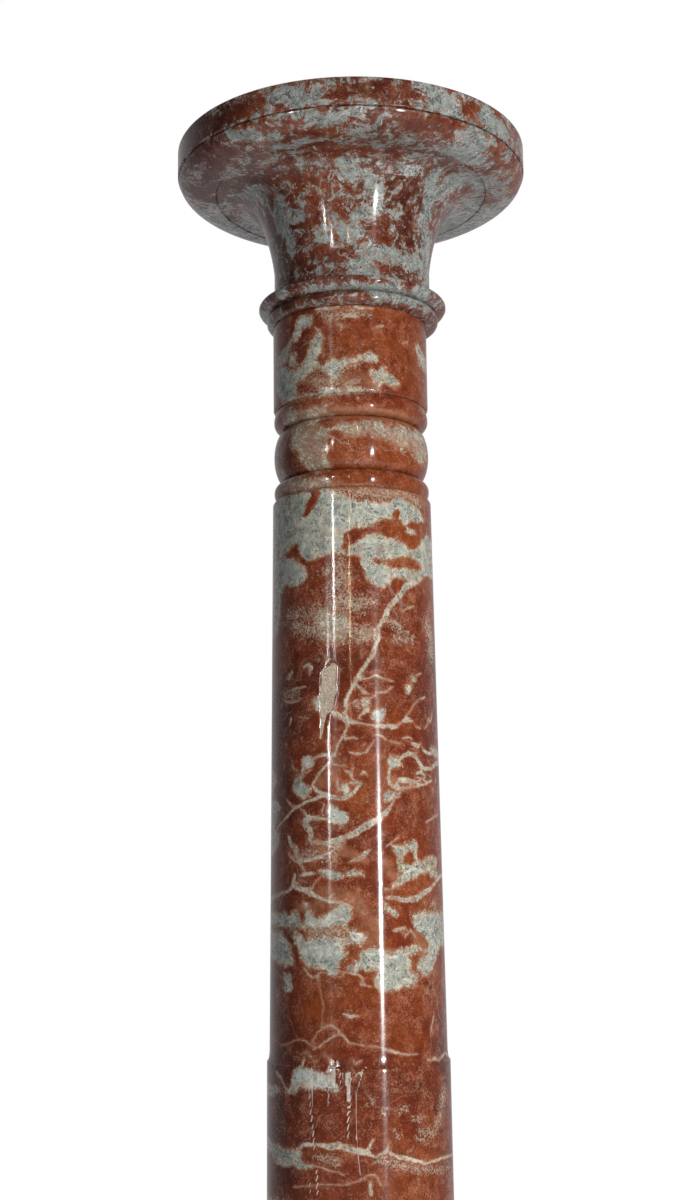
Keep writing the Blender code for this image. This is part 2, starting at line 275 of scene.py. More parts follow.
HAZES = (
    ((-50, 716, 5), (-34, 714, 5), (-20, 716, 6), (-8, 722, 9), (4, 720, 8), (12, 724, 5)),
    ((-46, 708, 6), (-34, 702, 7), (-20, 702, 8), (-6, 700, 8), (8, 697, 7), (16, 697, 4)),
    ((-14, 732, 6), (-6, 742, 7), (-10, 750, 6), (-20, 745, 4)),
    ((23, 709, 3), (30, 705, 4), (36, 700, 4), (44, 696, 4), (30, 694, 4)),
    ((62, 712, 6), (68, 700, 8), (70, 686, 7)),
    ((-72, 925, 6), (-62, 905, 8), (-54, 890, 7)),
    ((-60, 885, 3), (-30, 884, 2.5), (0, 885, 2.5), (22, 885, 1.5)),
    ((-26, 894, 5), (-8, 890, 4), (4, 890, 4)),
    ((-50, 922, 5), (-44, 910, 5), (-36, 900, 5)),
    ((-22, 948, 3), (-14, 944, 4), (2, 947, 4), (14, 945, 3)),
    ((-14, 805, 5), (0, 805, 5), (20, 804, 6), (40, 806, 3), (56, 802, 5)),
    ((-28, 481, 3), (-16, 482, 3), (-6, 480, 3)),
    ((-40, 536, 4), (-28, 538, 3), (-16, 534, 4)),
    ((-26, 326, 3), (-14, 325, 4)),
    ((10, 326, 3), (28, 319, 3), (50, 315, 3), (70, 314, 3)),
    ((56, 482, 6), (64, 478, 5), (60, 500, 5)),
    ((-54, 655, 4), (-42, 655, 4)),
    ((2, 644, 3), (8, 644, 3)),
    ((6, 363, 2), (8, 366, 2)), ((15, 358, 2.5), (18, 359, 2)), ((24, 358, 3), (30, 359, 2)),
    ((34, 351, 2), (44, 351, 2)), ((20, 345, 2), (24, 340, 2)), ((36, 338, 2), (44, 333, 2)),
    ((40, 342, 4), (50, 340, 4), (58, 352, 4), (64, 366, 5)),
)
PALE_SPOTS = (
    ((-17, 567, 2.5), (-14, 566, 3.5), (-9, 564, 3.5)),
    ((25, 603, 2.2), (28, 602, 1.5)),
    ((14, 637, 2), (17, 637.5, 3), (17, 634, 2)),
    ((-15, 643, 1.8), (-14.4, 639, 1.6)),
    ((38.5, 659.5, 2.1), (40, 656, 1.3)),
    ((-39, 943, 2), (-33, 944, 2)),
    ((-44, 383, 2), (-38, 381, 5), (-30, 380, 4), (-20, 379, 4)),
    ((-36, 604, 2), (-31, 604, 2)),
    ((-9, 584, 2), (-6, 584, 2)),
    # This short pale dash on the neck's notch is a painted glint.
    ((-16, 886, 1), (-13, 886, 1)),
    ((-33, 491, 2.5), (-22, 488, 2), (-10, 496, 2.5)),
    ((-34, 470, 3), (-24, 468, 4), (-12, 467, 3)),
)

LONG_VEIN = (
    ((56, 745, 2.6), (50, 742, 3.6), (44, 738, 3.2), (40, 735, 2.6), (37, 731, 2.1), (33, 727, 2)),
    ((33, 727, 2), (29, 723, 1.9), (26, 719, 1.9), (24, 715, 2.1), (22, 710, 1.9), (19, 706, 1.7)),
    ((19, 706, 1.7), (17, 703, 1.5), (17, 697, 1.2), (17.5, 694, 1.2), (15, 690, 1.3), (14, 686, 1.3)),
    ((14, 686, 1.3), (13, 682, 1.6), (10, 678, 1.2), (8, 674, 1.2), (5, 670, 1.4), (3, 666, 1.8)),
    ((3, 666, 1.8), (1, 662, 1.6), (-1, 658, 1), (-3, 654, 1.2), (-5, 650, 1.1), (-6, 646, 1.7)),
    ((-6, 646, 1.7), (-5, 643, 1.1), (-6, 639, 0.9), (-5, 634, 0.8), (-5, 629, 0.7), (-6, 625, 0.8)),
    ((-6, 625, 0.8), (-8, 621, 1), (-11, 616, 0.9), (-12, 612, 0.8), (-14, 607, 1), (-17, 603, 1.1)),
    ((-17, 603, 1.1), (-20, 600, 0.9), (-24, 596, 1), (-27, 591, 0.9), (-30, 586, 0.9), (-33, 581, 0.8)),
    ((-20, 579, 0.9), (-28, 577, 1.1), (-33, 575, 1.1), (-38, 573, 1), (-44, 571, 1.1)),
    ((-44, 571, 1.1), (-52, 565, 1), (-60, 560, 0.9), (-66, 556, 0.8)),
)
UPPER_VEINS = (
    ((-14, 639, 2.1), (-9, 636, 2), (-4, 633, 1.9), (0, 632, 1.2), (4, 631, 0.7), (10, 630, 0.6)),
    ((10, 630, 0.6), (15, 629.5, 0.9), (20, 629, 1.5), (25, 629, 1.7), (29, 629.5, 1.3), (32, 632, 0.8)),
    ((32, 632, 0.8), (35, 634, 1.5), (38, 634, 1.4), (42, 634, 0.8)),
    ((3, 636, 0.7), (6, 639, 1.1), (9, 641, 1.4), (6, 645, 1.3), (9, 646, 1.2)),
    ((36, 637, 0.5), (40, 641, 0.5), (46, 648, 0.5), (50, 651, 0.6), (56, 653, 0.9)),
    ((3, 658, 0.8), (6, 655, 1), (9, 653, 0.5)),
    ((4, 664, 0.5), (10, 664, 0.5), (14, 667, 0.7), (18, 665, 0.7), (22, 664, 0.5), (27, 663, 0.4)),
    ((14, 654, 0.5), (18, 654, 0.8), (22, 655, 0.8), (26, 658, 0.6)),
    ((5, 649, 0.5), (10, 650, 0.5), (14, 651, 0.5)),
    ((0, 647, 0.9), (2, 648, 0.6)),
    ((48, 669, 0.7), (52, 670, 0.8)),
    ((-35, 675, 0.9), (-32, 677, 1.2), (-30, 674, 1.4), (-31, 669, 0.6)),
    ((-56, 652, 0.4), (-52, 650, 0.6), (-46, 649, 0.6), (-38, 651, 0.4)),
    ((-55, 657, 0.4), (-45, 659, 0.5), (-35, 660, 0.5)),
    ((-48, 637, 1.1), (-49, 633, 0.7)),
    ((-40, 638, 0.3), (-32, 636, 0.3)),
    ((28, 708, 0.8), (33, 705, 1)),
    ((36, 716, 0.6), (41, 719, 0.8), (46, 721, 0.5)),
    ((56, 630, 0.7), (59, 633, 0.7), (61, 638, 0.5)),
    ((62, 634, 0.7), (65, 637, 0.9), (67, 641, 0.5)),
    ((46, 630, 0.5), (50, 629, 0.5)),
    ((-24, 951, 0.8), (-14, 950, 1.3), (-8, 951, 0.7)),
    ((5, 950, 1.4), (11, 950, 1), (17, 950, 0.6)),
    ((-3, 943, 1.2), (1, 944, 1.6), (5, 943, 1.2)),
    ((20, 936, 0.5), (24, 937, 1)),
    ((42, 926, 0.6), (46, 928, 0.8)),
)
LOOP_VEINS = (
    ((-29, 606, 1.2), (-25, 608, 1.4), (-20, 609, 1.2), (-16, 607, 0.9)),
    ((-36, 601, 0.9), (-37, 597, 1), (-39, 593, 1.2)),
    ((-31, 598, 0.6), (-35, 595, 0.9), (-38, 592, 0.9)),
    ((-28, 585, 1), (-25, 582, 1.3), (-20, 580, 1.3), (-15, 578, 1.5), (-10, 577, 1.4), (-5, 578, 1.3)),
    ((-5, 578, 1.3), (-1, 581, 1.3), (2, 585, 1.2), (4, 588, 0.9), (1, 588, 0.8), (-3, 588, 0.6)),
    ((-12, 591, 0.7), (-12, 587, 0.8), (-11, 583, 0.8)),
    ((-6, 597, 0.7), (-3, 595, 0.9), (-2, 592, 0.7)),
    ((-1, 599, 0.4), (-2.5, 595, 0.4)),
    ((4, 594, 0.5), (6, 596, 0.9), (8, 593, 0.4)),
    ((-16, 603, 0.5), (-12, 601, 0.7), (-7, 601, 0.5)),
    ((-52, 577, 0.6), (-47, 573, 0.8), (-44, 571, 0.8)),
    ((31, 605, 1.2), (34, 608, 1.4), (38, 610, 1.5), (43, 609, 1.5), (47, 605, 1.4), (51, 600, 1.4)),
    ((51, 600, 1.4), (56, 599, 1.2), (62, 600, 1.2), (72, 604, 2), (84, 606, 2)),
    ((46, 596, 1.2), (52, 597, 0.9), (58, 599, 0.8)),
    ((23, 597, 1.2), (22, 592, 1.2), (23, 588, 1.5), (26, 585, 1.4), (30, 584, 1.2), (38, 585, 1)),
    ((38, 585, 1), (46, 586, 0.9), (54, 588, 0.8), (62, 591, 1)),
    ((28, 588, 0.9), (30, 591, 1.1), (35, 591, 1.3), (40, 589, 1.4), (46, 590, 0.9), (54, 593, 0.7)),
    ((53, 613, 0.9), (58, 611, 1.3), (64, 611, 1.4)),
    ((42, 617, 1.2), (46, 616, 1.7), (49, 617, 0.8)),
    ((34, 621, 0.6), (38, 622, 0.7), (42, 621, 0.4)),
    ((14, 623, 0.6), (18, 622, 0.8), (22, 619, 0.5), (31, 617, 0.4)),
    ((-6, 620, 0.6), (-2, 621, 0.8), (1, 620, 0.6)),
    ((-3, 610, 0.6), (2, 609, 0.8), (7, 610, 0.7), (10, 614, 0.7), (13, 619, 0.6)),
    ((-20, 562, 0.8), (-24, 563, 1.8), (-28, 563, 2.1), (-32, 562, 2), (-35, 561, 2.4), (-35, 558, 1.8)),
    ((-31, 555, 2), (-30, 552, 2), (-32, 549, 1.4), (-31, 546, 1.1), (-29, 544, 0.9)),
    ((-28, 547, 0.9), (-26, 545.5, 1.5), (-20, 545, 1.3), (-14, 546, 1.7), (-8, 548, 2), (-2, 551, 2.1)),
    ((-2, 551, 2.1), (4, 555, 2.3), (9, 558, 2.4), (14, 561, 2.2), (19, 565, 2.1), (22, 569, 1.5)),
    ((22, 569, 1.5), (25, 574, 0.8), (28, 579, 0.5)),
    ((-36, 569, 0.8), (-34, 565, 0.9)),
    ((-21, 572, 0.6), (-22, 568, 0.7)),
    ((-50, 550, 1.4), (-48, 546, 1.7), (-47, 543, 1.3)),
    ((-44, 543, 1.4), (-42, 541, 1.9), (-44, 538, 1.3), (-42, 535, 1.1), (-39, 532, 1)),
    ((-50, 538, 0.6), (-46, 534, 0.7), (-41, 531, 0.7), (-38, 528, 0.6), (-35, 524, 0.5)),
    ((-39, 532, 1.2), (-36, 533, 1.5), (-31, 533, 1.5), (-26, 534, 1.4), (-22, 536, 1.2)),
    ((-22, 536, 1.2), (-17, 538, 0.9), (-12, 542, 0.8), (-8, 545, 0.6)),
    ((-17, 529, 0.3), (-12, 536, 0.4), (-8, 543, 0.4)),
    ((-4, 531, 0.6), (0, 533, 1.5), (5, 536, 1.9), (8, 539, 0.9)),
    ((-38, 522, 0.9), (-32, 523, 1.3), (-28, 523, 0.9)),
    ((-24, 520, 0.6), (-28, 516, 0.6), (-30, 512, 0.7)),
    ((-84, 504, 2.2), (-68, 507, 1.7), (-60, 509, 1.3), (-50, 511, 1.1), (-46, 514, 1.5)),
    ((-46, 514, 1.5), (-45, 518, 1.8), (-44, 522, 1.3)),
    ((-43, 514, 1.9), (-38, 512, 2), (-33, 511, 1.9), (-30, 508, 1.9), (-26, 507, 1.2), (-22, 505, 0.9)),
    ((-22, 505, 0.9), (-17, 503, 1.2), (-12, 503, 1), (-8, 502, 0.8), (-3, 499, 0.7)),
    ((-20, 504, 0.8), (-17, 507, 0.9), (-15, 508, 0.6)),
    ((20, 542, 0.4), (24, 545, 0.6), (28, 548, 0.5)),
    ((20, 506, 0.9), (26, 505, 1.4), (32, 504, 1.5), (38, 504, 1.9), (43, 505, 2.1), (48, 508, 2)),
    ((48, 508, 2), (53, 510, 1.7), (58, 512, 1.4), (64, 516, 1.2), (72, 520, 1.4), (84, 522, 1.5)),
    ((54, 560, 0.6), (62, 563, 0.8), (72, 566, 0.8)),
    ((-36, 456, 0.5), (-33, 452, 0.5), (-28, 449, 0.6), (-25, 453, 0.5), (-20, 453, 0.5)),
    ((-10, 454, 0.4), (0, 452, 0.5), (4, 449, 0.5), (2, 445, 0.4), (8, 443, 0.4)),
    ((24, 482, 0.8), (28, 483, 1.2), (32, 484, 0.7)),
    ((32, 478, 0.6), (36, 482, 0.8), (40, 478, 0.6)),
)
LOWER_VEINS = (
    ((-58, 401, 0.3), (-48, 403, 0.4), (-42, 406, 0.4), (-36, 406, 0.5), (-31, 403, 0.5)),
    ((-31, 403, 0.5), (-26, 412, 0.5), (-20, 416, 0.5), (-17, 417.5, 0.6), (-12, 413, 0.7)),
    ((-29, 400, 0.5), (-24, 402, 0.6), (-20, 406, 0.8), (-12, 411, 0.7), (-9, 409, 0.4)),
    ((-12, 413, 0.6), (-6, 405, 0.5), (-2, 404, 0.4), (3, 403, 0.4), (10, 402, 0.35), (20, 400, 0.35)),
    ((-25, 450, 0.15), (-24, 440, 0.12), (-22, 430, 0.12), (-23, 417, 0.1)),
    ((-8, 424, 1.1), (-4, 423, 1.3), (0, 423, 0.6)),
    ((56, 420, 0.8), (53, 412, 0.7), (52, 407, 0.4)),
    ((18, 399, 1.1), (22, 398, 0.9), (28, 396, 0.5), (40, 395, 0.3)),
    ((48, 390, 0.4), (56, 391, 0.9), (60, 389, 0.5), (72, 393, 0.8), (84, 390, 0.8)),
    ((-1, 391, 0.6), (1, 392, 0.9)),
    ((-37, 389, 1), (-36, 392, 0.7)),
    ((-62, 382, 0.8), (-56, 379, 0.9), (-50, 371, 0.5), (-46, 369, 0.7)),
    ((-40, 331, 0.9), (-36, 334, 1.3), (-30, 335, 1.1), (-24, 335, 1.2), (-18, 334.5, 1.9)),
    ((-18, 334.5, 1.9), (-12, 335, 2.3), (-7, 333.5, 2.3), (-2, 332, 2.1), (3, 331, 1.9), (6, 329, 1.4)),
    ((5, 332, 0.7), (6, 336, 0.9), (8, 339, 0.6)),
    ((9, 327, 0.6), (12, 329, 0.7), (16, 331, 1.3), (17, 335, 0.5)),
    ((18, 329, 0.9), (24, 326.5, 1.4), (28, 325, 1.4), (32, 324, 1.5), (36, 322.5, 1.1), (42, 320, 1.1)),
    ((42, 320, 0.9), (48, 320.5, 0.9), (56, 321, 1.0), (66, 321, 0.8), (84, 320, 0.8)),
    ((-43, 305, 0.4), (-22, 309, 0.4), (-10, 309, 0.4), (0, 312, 0.5), (4, 315, 0.7), (9, 316, 0.5)),
    ((9, 316, 0.5), (12, 309, 0.5)),
    ((5.5, 310, 0.9), (6, 303, 1.1)),
    ((-28, 321, 0.6), (-12, 317, 0.4), (-10, 316, 0.6)),
)
WHITE_MARKS = (
    ((-31, 386, 0.5), (-31, 376, 0.4), (-31.5, 366, 0.2)),
    ((-28.6, 386, 0.5), (-28.8, 376, 0.4), (-29, 360, 0.3)),
    ((-25, 384, 0.5), (-25.4, 375, 0.3)),
    ((-22.5, 384, 0.4), (-22.6, 376, 0.3)),
    ((-20.4, 384, 0.5), (-20.6, 372, 0.2)),
    ((-18.5, 388, 0.6), (-18.4, 376, 0.35), (-18.8, 361, 0.2)),
    ((-16.8, 389, 0.7), (-16.4, 380, 0.45), (-16.8, 372, 0.3), (-17, 363, 0.2)),
    ((-14.4, 388, 0.55), (-14.2, 381, 0.4), (-14.6, 372, 0.2)),
    # These two white dots at the step are painted glints on small pits.
    ((-16.5, 392, 0.9), (-16.4, 391.6, 0.9)),
    ((-13, 391, 0.9), (-12.9, 390.6, 0.9)),
    ((-9.8, 385, 0.3), (-9.4, 378, 0.2)),
    ((-7.4, 385, 0.35), (-7, 376, 0.3), (-7.2, 366, 0.2)),
    ((-5.2, 385, 0.5), (-5, 379, 0.35), (-5.4, 371, 0.3), (-5.6, 364, 0.2)),
    ((-3, 380, 0.3), (-1, 384, 0.4), (2, 386, 0.5)),
    ((2.4, 385, 0.4), (0.6, 379, 0.3), (-1.6, 371, 0.25), (-2, 354, 0.25), (-1.2, 330, 0.2), (0, 316, 0.3)),
    ((-2, 341, 0.7), (-1.9, 340.4, 0.7)),
    ((-18, 487, 0.7), (-14, 490, 0.9), (-9, 491, 0.9), (-6.5, 488.5, 0.6), (-9, 486, 0.6)),
    ((-14, 473, 0.9), (-12, 473.4, 1.2), (-11, 471.6, 0.9)),
    ((-4.5, 481, 0.7), (-2.5, 476, 0.7), (1.5, 476, 0.7), (3, 480, 0.7), (-3, 480.5, 0.6)),
    ((33, 523, 0.8), (37, 525, 1.5), (42, 526, 0.9)),
    ((42.6, 536, 0.6), (44, 529, 0.7)),
    ((30, 448, 0.8), (35, 447, 1)),
    ((18, 464, 0.8), (22, 463, 1), (26, 464, 0.6)),
    ((31, 465, 0.8), (34, 466, 0.8)),
)
# Rows of short slanting scratches, as strokes.
SCRATCH_ROWS = (
    ((-31, 376, 0.35), (-30.5, 362, 0.4), (-29.5, 350, 0.45), (-28.6, 343, 0.5), (-28, 332, 0.35)),
    ((-29.2, 352, 0.3), (-28, 340, 0.4)),
    ((-6.2, 373, 0.45), (-6.4, 360, 0.45), (-6.8, 350, 0.5), (-6.6, 340, 0.35)),
    ((-4.8, 372, 0.35), (-5.2, 358, 0.35)),
    ((-26.4, 318, 0.45), (-26, 302, 0.4)),
    ((-31.2, 312, 0.35), (-31, 302, 0.35)),
    ((-18.2, 383, 0.4), (-18.6, 364, 0.3)),
    ((-11.6, 386, 0.35), (-11, 374, 0.3)),
)
DARK_SPECKS = (
    (-14, 563.6, 1.1), (-7, 488, 0.8), (-10, 486, 0.6), (43, 527.6, 1.3), (-26, 473, 0.9),
    (-19, 467, 0.9), (-26, 461, 0.9), (-14, 470, 0.7), (-35, 469, 0.7), (-22, 484, 0.6),
    (3.5, 330.6, 1.2), (-9, 334, 0.7), (33, 346.4, 0.9), (-5.6, 343, 0.9), (-26, 765, 1),
    (-24, 763, 0.8), (-44, 786, 0.8), (-10, 771, 0.7), (-12, 765, 0.8), (62, 762, 0.9),
    (-37, 946, 0.8), (-33, 578.4, 0.9), (58, 531, 0.8), (-52, 464, 1.1), (-42, 379, 1.4),
)
FILLED_PATCH = (
    (-22, 671), (-18, 673), (-15, 676), (-11.5, 676), (-12, 667), (-12.5, 660), (-11, 656),
    (-13, 652), (-14, 645), (-15.5, 641), (-19, 638), (-20, 632), (-21.5, 626), (-22.5, 619),
    (-24, 620), (-23.5, 627), (-22.5, 633), (-23, 640), (-22, 646), (-24, 650), (-23.5, 657),
    (-22, 663), (-22.5, 668),
)

CAPITAL_GREYS = (
    ((-20, 8, 7), (-16, 16, 7), (-8, 14, 5), (-6, 5, 5)),
    ((24, 4, 8), (29, 12, 11), (33, 17, 9)),
    ((46, 6, 6), (51, 15, 9), (60, 12, 5)),
    ((-22, 27, 4), (-14, 30, 6), (-9, 38, 7), (-2, 32, 5), (6, 26, 4)),
    ((-38, 34, 5), (-32, 40, 6), (-28, 45, 5)),
    ((42, 30, 7), (46, 42, 10), (50, 54, 12), (38, 58, 8)),
    ((2, 50, 5), (6, 46, 4)),
    ((-30, 66, 6), (-24, 60, 6), (-14, 58, 6)),
    ((-4, 90, 5), (0, 94, 7), (4, 88, 4)),
    ((26, 88, 5), (32, 92, 6), (36, 87, 4)),
    ((50, 88, 8), (56, 100, 9), (58, 112, 9), (54, 124, 6)),
    ((10, 104, 5), (16, 112, 7), (20, 122, 6), (12, 126, 6), (2, 132, 5)),
    ((-58, 122, 8), (-50, 108, 6), (-46, 120, 8), (-52, 134, 7), (-48, 148, 6)),
    ((-36, 122, 5), (-28, 128, 4)),
    ((-24, 146, 5), (-16, 148, 4)),
    ((-6, 142, 5), (0, 146, 7), (6, 142, 5)),
    ((6, 156, 5), (16, 158, 7), (30, 160, 7), (44, 160, 7), (58, 158, 8)),
    ((-18, 169, 3), (0, 168, 4), (14, 168, 4)),
    ((2, 178, 9), (14, 182, 11), (28, 184, 9)),
    ((-26, 201, 5), (-8, 201, 5), (10, 202, 6), (28, 202, 6), (50, 200, 10)),
    ((18, 213, 4), (40, 213, 5), (60, 211, 6)),
    ((-50, 196, 6), (-44, 190, 4), (-42, 182, 3)),
    ((64, 92, 10), (72, 66, 12), (88, 56, 16), (100, 80, 18)),
    ((66, 140, 12), (74, 160, 14)),
    ((-84, 66, 8), (-80, 82, 8), (-66, 96, 6)),
)
CAPITAL_REDS = (
    ((-84, 50, 14), (-72, 70, 12), (-58, 84, 8), (-46, 96, 5)),
    ((-40, 62, 4), (-24, 70, 4), (-6, 66, 4)),
    ((30, 70, 4), (44, 66, 5)),
    ((-72, 120, 7), (-62, 140, 6)),
    ((-2, 12, 8), (8, 10, 10), (17, 10, 8)),
    ((-70, 10, 12), (-50, 12, 11), (-32, 12, 9)),
    ((39, 13, 5), (42, 6, 4)),
    ((-27, 36, 6), (-21, 44, 6), (-12, 50, 5)),
    ((14, 30, 7), (22, 38, 9), (30, 34, 9), (36, 30, 6)),
    ((55, 29, 5), (61, 34, 5)),
    ((-60, 30, 12), (-50, 44, 10), (-66, 52, 10)),
    ((-46, 82, 4), (-30, 79, 5), (-10, 78, 5), (10, 78, 5), (24, 80, 4)),
    ((-44, 92, 6), (-32, 96, 6), (-20, 102, 5)),
    ((10, 94, 5), (16, 98, 5)),
    ((41, 96, 4), (40, 108, 5), (34, 114, 6), (40, 122, 6), (46, 114, 3)),
    ((-44, 132, 4), (-34, 133, 5), (-22, 133, 5)),
    ((14, 138, 5), (24, 136, 6), (26, 146, 5), (18, 146, 4)),
    ((36, 136, 5), (46, 144, 7), (52, 138, 4)),
    ((-44, 158, 7), (-30, 157, 7), (-14, 158, 6), (-4, 156, 4)),
    ((-50, 168, 4), (-34, 168, 3), (-22, 166, 3)),
    ((-38, 182, 9), (-22, 184, 10), (-8, 182, 8)),
    ((36, 194, 5), (40, 188, 5)),
    ((-44, 212, 5), (-20, 211, 5), (6, 210, 4)),
    ((-88, 36, 10), (-74, 62, 6)),
)


class ColumnSizes(bpy.types.PropertyGroup):
    """Sizes of the column's mouldings, in metres"""

    table_radius: bpy.props.FloatProperty(
        name="Table radius", description="Radius of the round top",
        default=node_radius("capital"), min=0.05, unit="LENGTH")
    rim_height: bpy.props.FloatProperty(
        name="Rim height", description="Height of the upright band round the top",
        default=22.3 * MM, min=0.005, unit="LENGTH")
    ovolo_height: bpy.props.FloatProperty(
        name="Ovolo height", description="Height of the quarter round under the rim",
        default=13.8 * MM, min=0.002, unit="LENGTH")
    ovolo_reach: bpy.props.FloatProperty(
        name="Ovolo reach", description="How far the quarter round runs inwards",
        default=29.3 * MM, min=0.002, unit="LENGTH")
    cove_height: bpy.props.FloatProperty(
        name="Cove height", description="Height of the deep hollow under the table",
        default=66.6 * MM, min=0.01, unit="LENGTH")
    collar_radius: bpy.props.FloatProperty(
        name="Collar radius", description="Radius of the capital above its ring",
        default=62.2 * MM, min=0.01, unit="LENGTH")
    collar_height: bpy.props.FloatProperty(
        name="Collar height", description="Height of the straight collar above the ring",
        default=23.4 * MM, min=0.002, unit="LENGTH")
    ring_projection: bpy.props.FloatProperty(
        name="Ring projection", description="How far the ring stands out from the collar",
        default=12.6 * MM, min=0.001, unit="LENGTH")
    neck_radius: bpy.props.FloatProperty(
        name="Neck radius", description="Radius of the shaft's straight neck",
        default=61.1 * MM, min=0.01, unit="LENGTH")
    shaft_head_radius: bpy.props.FloatProperty(
        name="Shaft head radius", description="Radius at the top of the taper",
        default=61.9 * MM, min=0.01, unit="LENGTH")
    shaft_foot_radius: bpy.props.FloatProperty(
        name="Shaft foot radius", description="Radius at the bottom of the taper",
        default=66.2 * MM, min=0.01, unit="LENGTH")
    drum_height: bpy.props.FloatProperty(
        name="Drum height", description="Height of the wider drum under the step",
        default=229.2 * MM, min=0.01, unit="LENGTH")
    base_radius: bpy.props.FloatProperty(
        name="Base radius", description="Radius of the base's torus",
        default=node_radius("base"), min=0.02, unit="LENGTH")
    facets: bpy.props.IntProperty(
        name="Facets", description="Number of facets round a turned stone",
        default=200, min=48)


class MarbleColours(bpy.types.PropertyGroup):
    """Colours of the marble, as linear values"""

    ground_dark: bpy.props.FloatVectorProperty(
        name="Dark ground", description="Maroon parts of the red ground",
        default=(0.100, 0.022, 0.015), subtype="COLOR", size=3)
    ground: bpy.props.FloatVectorProperty(
        name="Ground", description="Brick red of the ground",
        default=(0.195, 0.036, 0.015), subtype="COLOR", size=3)
    ground_warm: bpy.props.FloatVectorProperty(
        name="Warm ground", description="Rusty orange parts of the ground",
        default=(0.265, 0.060, 0.017), subtype="COLOR", size=3)
    cloud: bpy.props.FloatVectorProperty(
        name="Cloud", description="Blue grey of the clouds",
        default=(0.44, 0.49, 0.46), subtype="COLOR", size=3)
    cloud_cream: bpy.props.FloatVectorProperty(
        name="Cream cloud", description="Cream parts of the clouds",
        default=(0.57, 0.56, 0.46), subtype="COLOR", size=3)
    cloud_dark: bpy.props.FloatVectorProperty(
        name="Cloud specks", description="Dark grey specks in the clouds",
        default=(0.08, 0.09, 0.09), subtype="COLOR", size=3)
    fleck: bpy.props.FloatVectorProperty(
        name="Fleck", description="Pale pinkish flecks in the ground",
        default=(0.50, 0.24, 0.15), subtype="COLOR", size=3)
    halo: bpy.props.FloatVectorProperty(
        name="Halo", description="Tan stain where a cloud meets the ground",
        default=(0.46, 0.22, 0.13), subtype="COLOR", size=3)
    # This bluish white also paints a glint on the neck's notch.
    pale: bpy.props.FloatVectorProperty(
        name="Pale spots", description="Bluish white of the palest spots",
        default=(0.66, 0.72, 0.71), subtype="COLOR", size=3)
    vein: bpy.props.FloatVectorProperty(
        name="Vein", description="Off-white of the veins",
        default=(0.60, 0.57, 0.51), subtype="COLOR", size=3)
    # This white also paints two glints on pits at the step.
    scratch_and_glint: bpy.props.FloatVectorProperty(
        name="Scratch", description="White of bruised and scratched stone",
        default=(0.80, 0.78, 0.74), subtype="COLOR", size=3)
    filler: bpy.props.FloatVectorProperty(
        name="Filler", description="Beige of the rough filled patch",
        default=(0.58, 0.50, 0.40), subtype="COLOR", size=3)


class StudioSettings(bpy.types.PropertyGroup):
    """Lights and backdrop"""

    backdrop: bpy.props.FloatVectorProperty(
        name="Backdrop", description="Colour behind the column",
        default=(1.0, 1.0, 1.0), subtype="COLOR", size=3)
    floor: bpy.props.FloatVectorProperty(
        name="Floor", description="Colour of the floor",
        default=(0.86, 0.86, 0.86), subtype="COLOR", size=3)
    floor_radius: bpy.props.FloatProperty(
        name="Floor radius", description="Radius of the round floor",
        default=1.4, min=0.3, unit="LENGTH")
    room: bpy.props.FloatVectorProperty(
        name="Room", description="Colour of the dim room that the stone mirrors",
        default=(1.0, 0.95, 0.97), subtype="COLOR", size=3)
    surround: bpy.props.FloatProperty(
        name="Surround", description="Brightness of the room in front of the column",
        default=0.05, min=0)
    surround_behind: bpy.props.FloatProperty(
        name="Surround behind", description="Brightness of the room behind the column",
        default=0.42, min=0)
    soft_power: bpy.props.FloatProperty(
        name="Soft power", description="Power that the broad soft lights take their shares of",
        default=14, min=0, unit="POWER")
    lamp_power: bpy.props.FloatProperty(
        name="Lamp power", description="Power of the right lamp, of which the other lamps take shares",
        default=14, min=0, unit="POWER")


def deselect_all():
    if bpy.context.object and bpy.context.object.mode != "OBJECT":
        bpy.ops.object.mode_set(mode="OBJECT")
    bpy.ops.object.select_all(action="DESELECT")


def elliptic_arc(centre, reach, start, end, spacing):
    """Points of an ellipse from one angle to another, in degrees above outwards."""
    sweep = math.radians(end - start)
    steps = max(3, math.ceil(abs(sweep) * max(map(abs, reach)) / spacing))
    angles = [math.radians(start) + sweep * step / steps for step in range(steps + 1)]
    return [(centre[0] + reach[0] * math.cos(a), centre[1] + reach[1] * math.sin(a)) for a in angles]


def bulge(top, bottom, radii, spacing):
    """Half an ellipse between two notches, from the top down."""
    top_radius, crown_radius, bottom_radius = radii
    steps = max(8, math.ceil(1.4 * (top - bottom) / spacing))
    points = []
    for step in range(steps + 1):
        angle = math.pi * step / steps
        fall = (1 - math.cos(angle)) / 2
        chord_radius = top_radius + (bottom_radius - top_radius) * fall
        radius = chord_radius + (crown_radius - chord_radius) * math.sin(angle)
        points.append((radius, top + (bottom - top) * fall))
    return points


def hollow(top, bottom, inner, outer, spacing):
    """A concave quarter that sweeps outwards as it goes down."""
    return elliptic_arc((outer, top), (inner - outer, bottom - top), 0, 90, spacing)


def cove(top, bottom, head_radius, foot_radius, spacing):
    """The capital's deep cove, a superellipse tight under the table and long below."""
    inward_power = 2 / 3.43
    upward_power = 2 / 1.28
    steps = math.ceil(1.5 * (top - bottom) / spacing)
    points = []
    for step in range(steps + 1):
        angle = math.pi / 2 * (1 - step / steps)
        inward = max(math.cos(angle), 0) ** inward_power
        radius = head_radius - (head_radius - foot_radius) * inward
        points.append((radius, bottom + (top - bottom) * math.sin(angle) ** upward_power))
    return points


def evened(points, spacing, bed_spacing=0.01):
    """The outline with its long straight stretches divided and repeated points left out.

    The flat beds at its two ends need fewer points.
    """
    result = [points[0]]
    for point in points[1:]:
        start = result[-1]
        length = math.dist(start, point)
        if length < WELD * 5:
            continue
        bed = start[0] == 0 or point[0] == 0
        parts = max(1, math.ceil(length / (bed_spacing if bed else spacing)))
        for part in range(1, parts + 1):
            share = part / parts
            result.append(tuple(a + (b - a) * share for a, b in zip(start, point)))
    return result


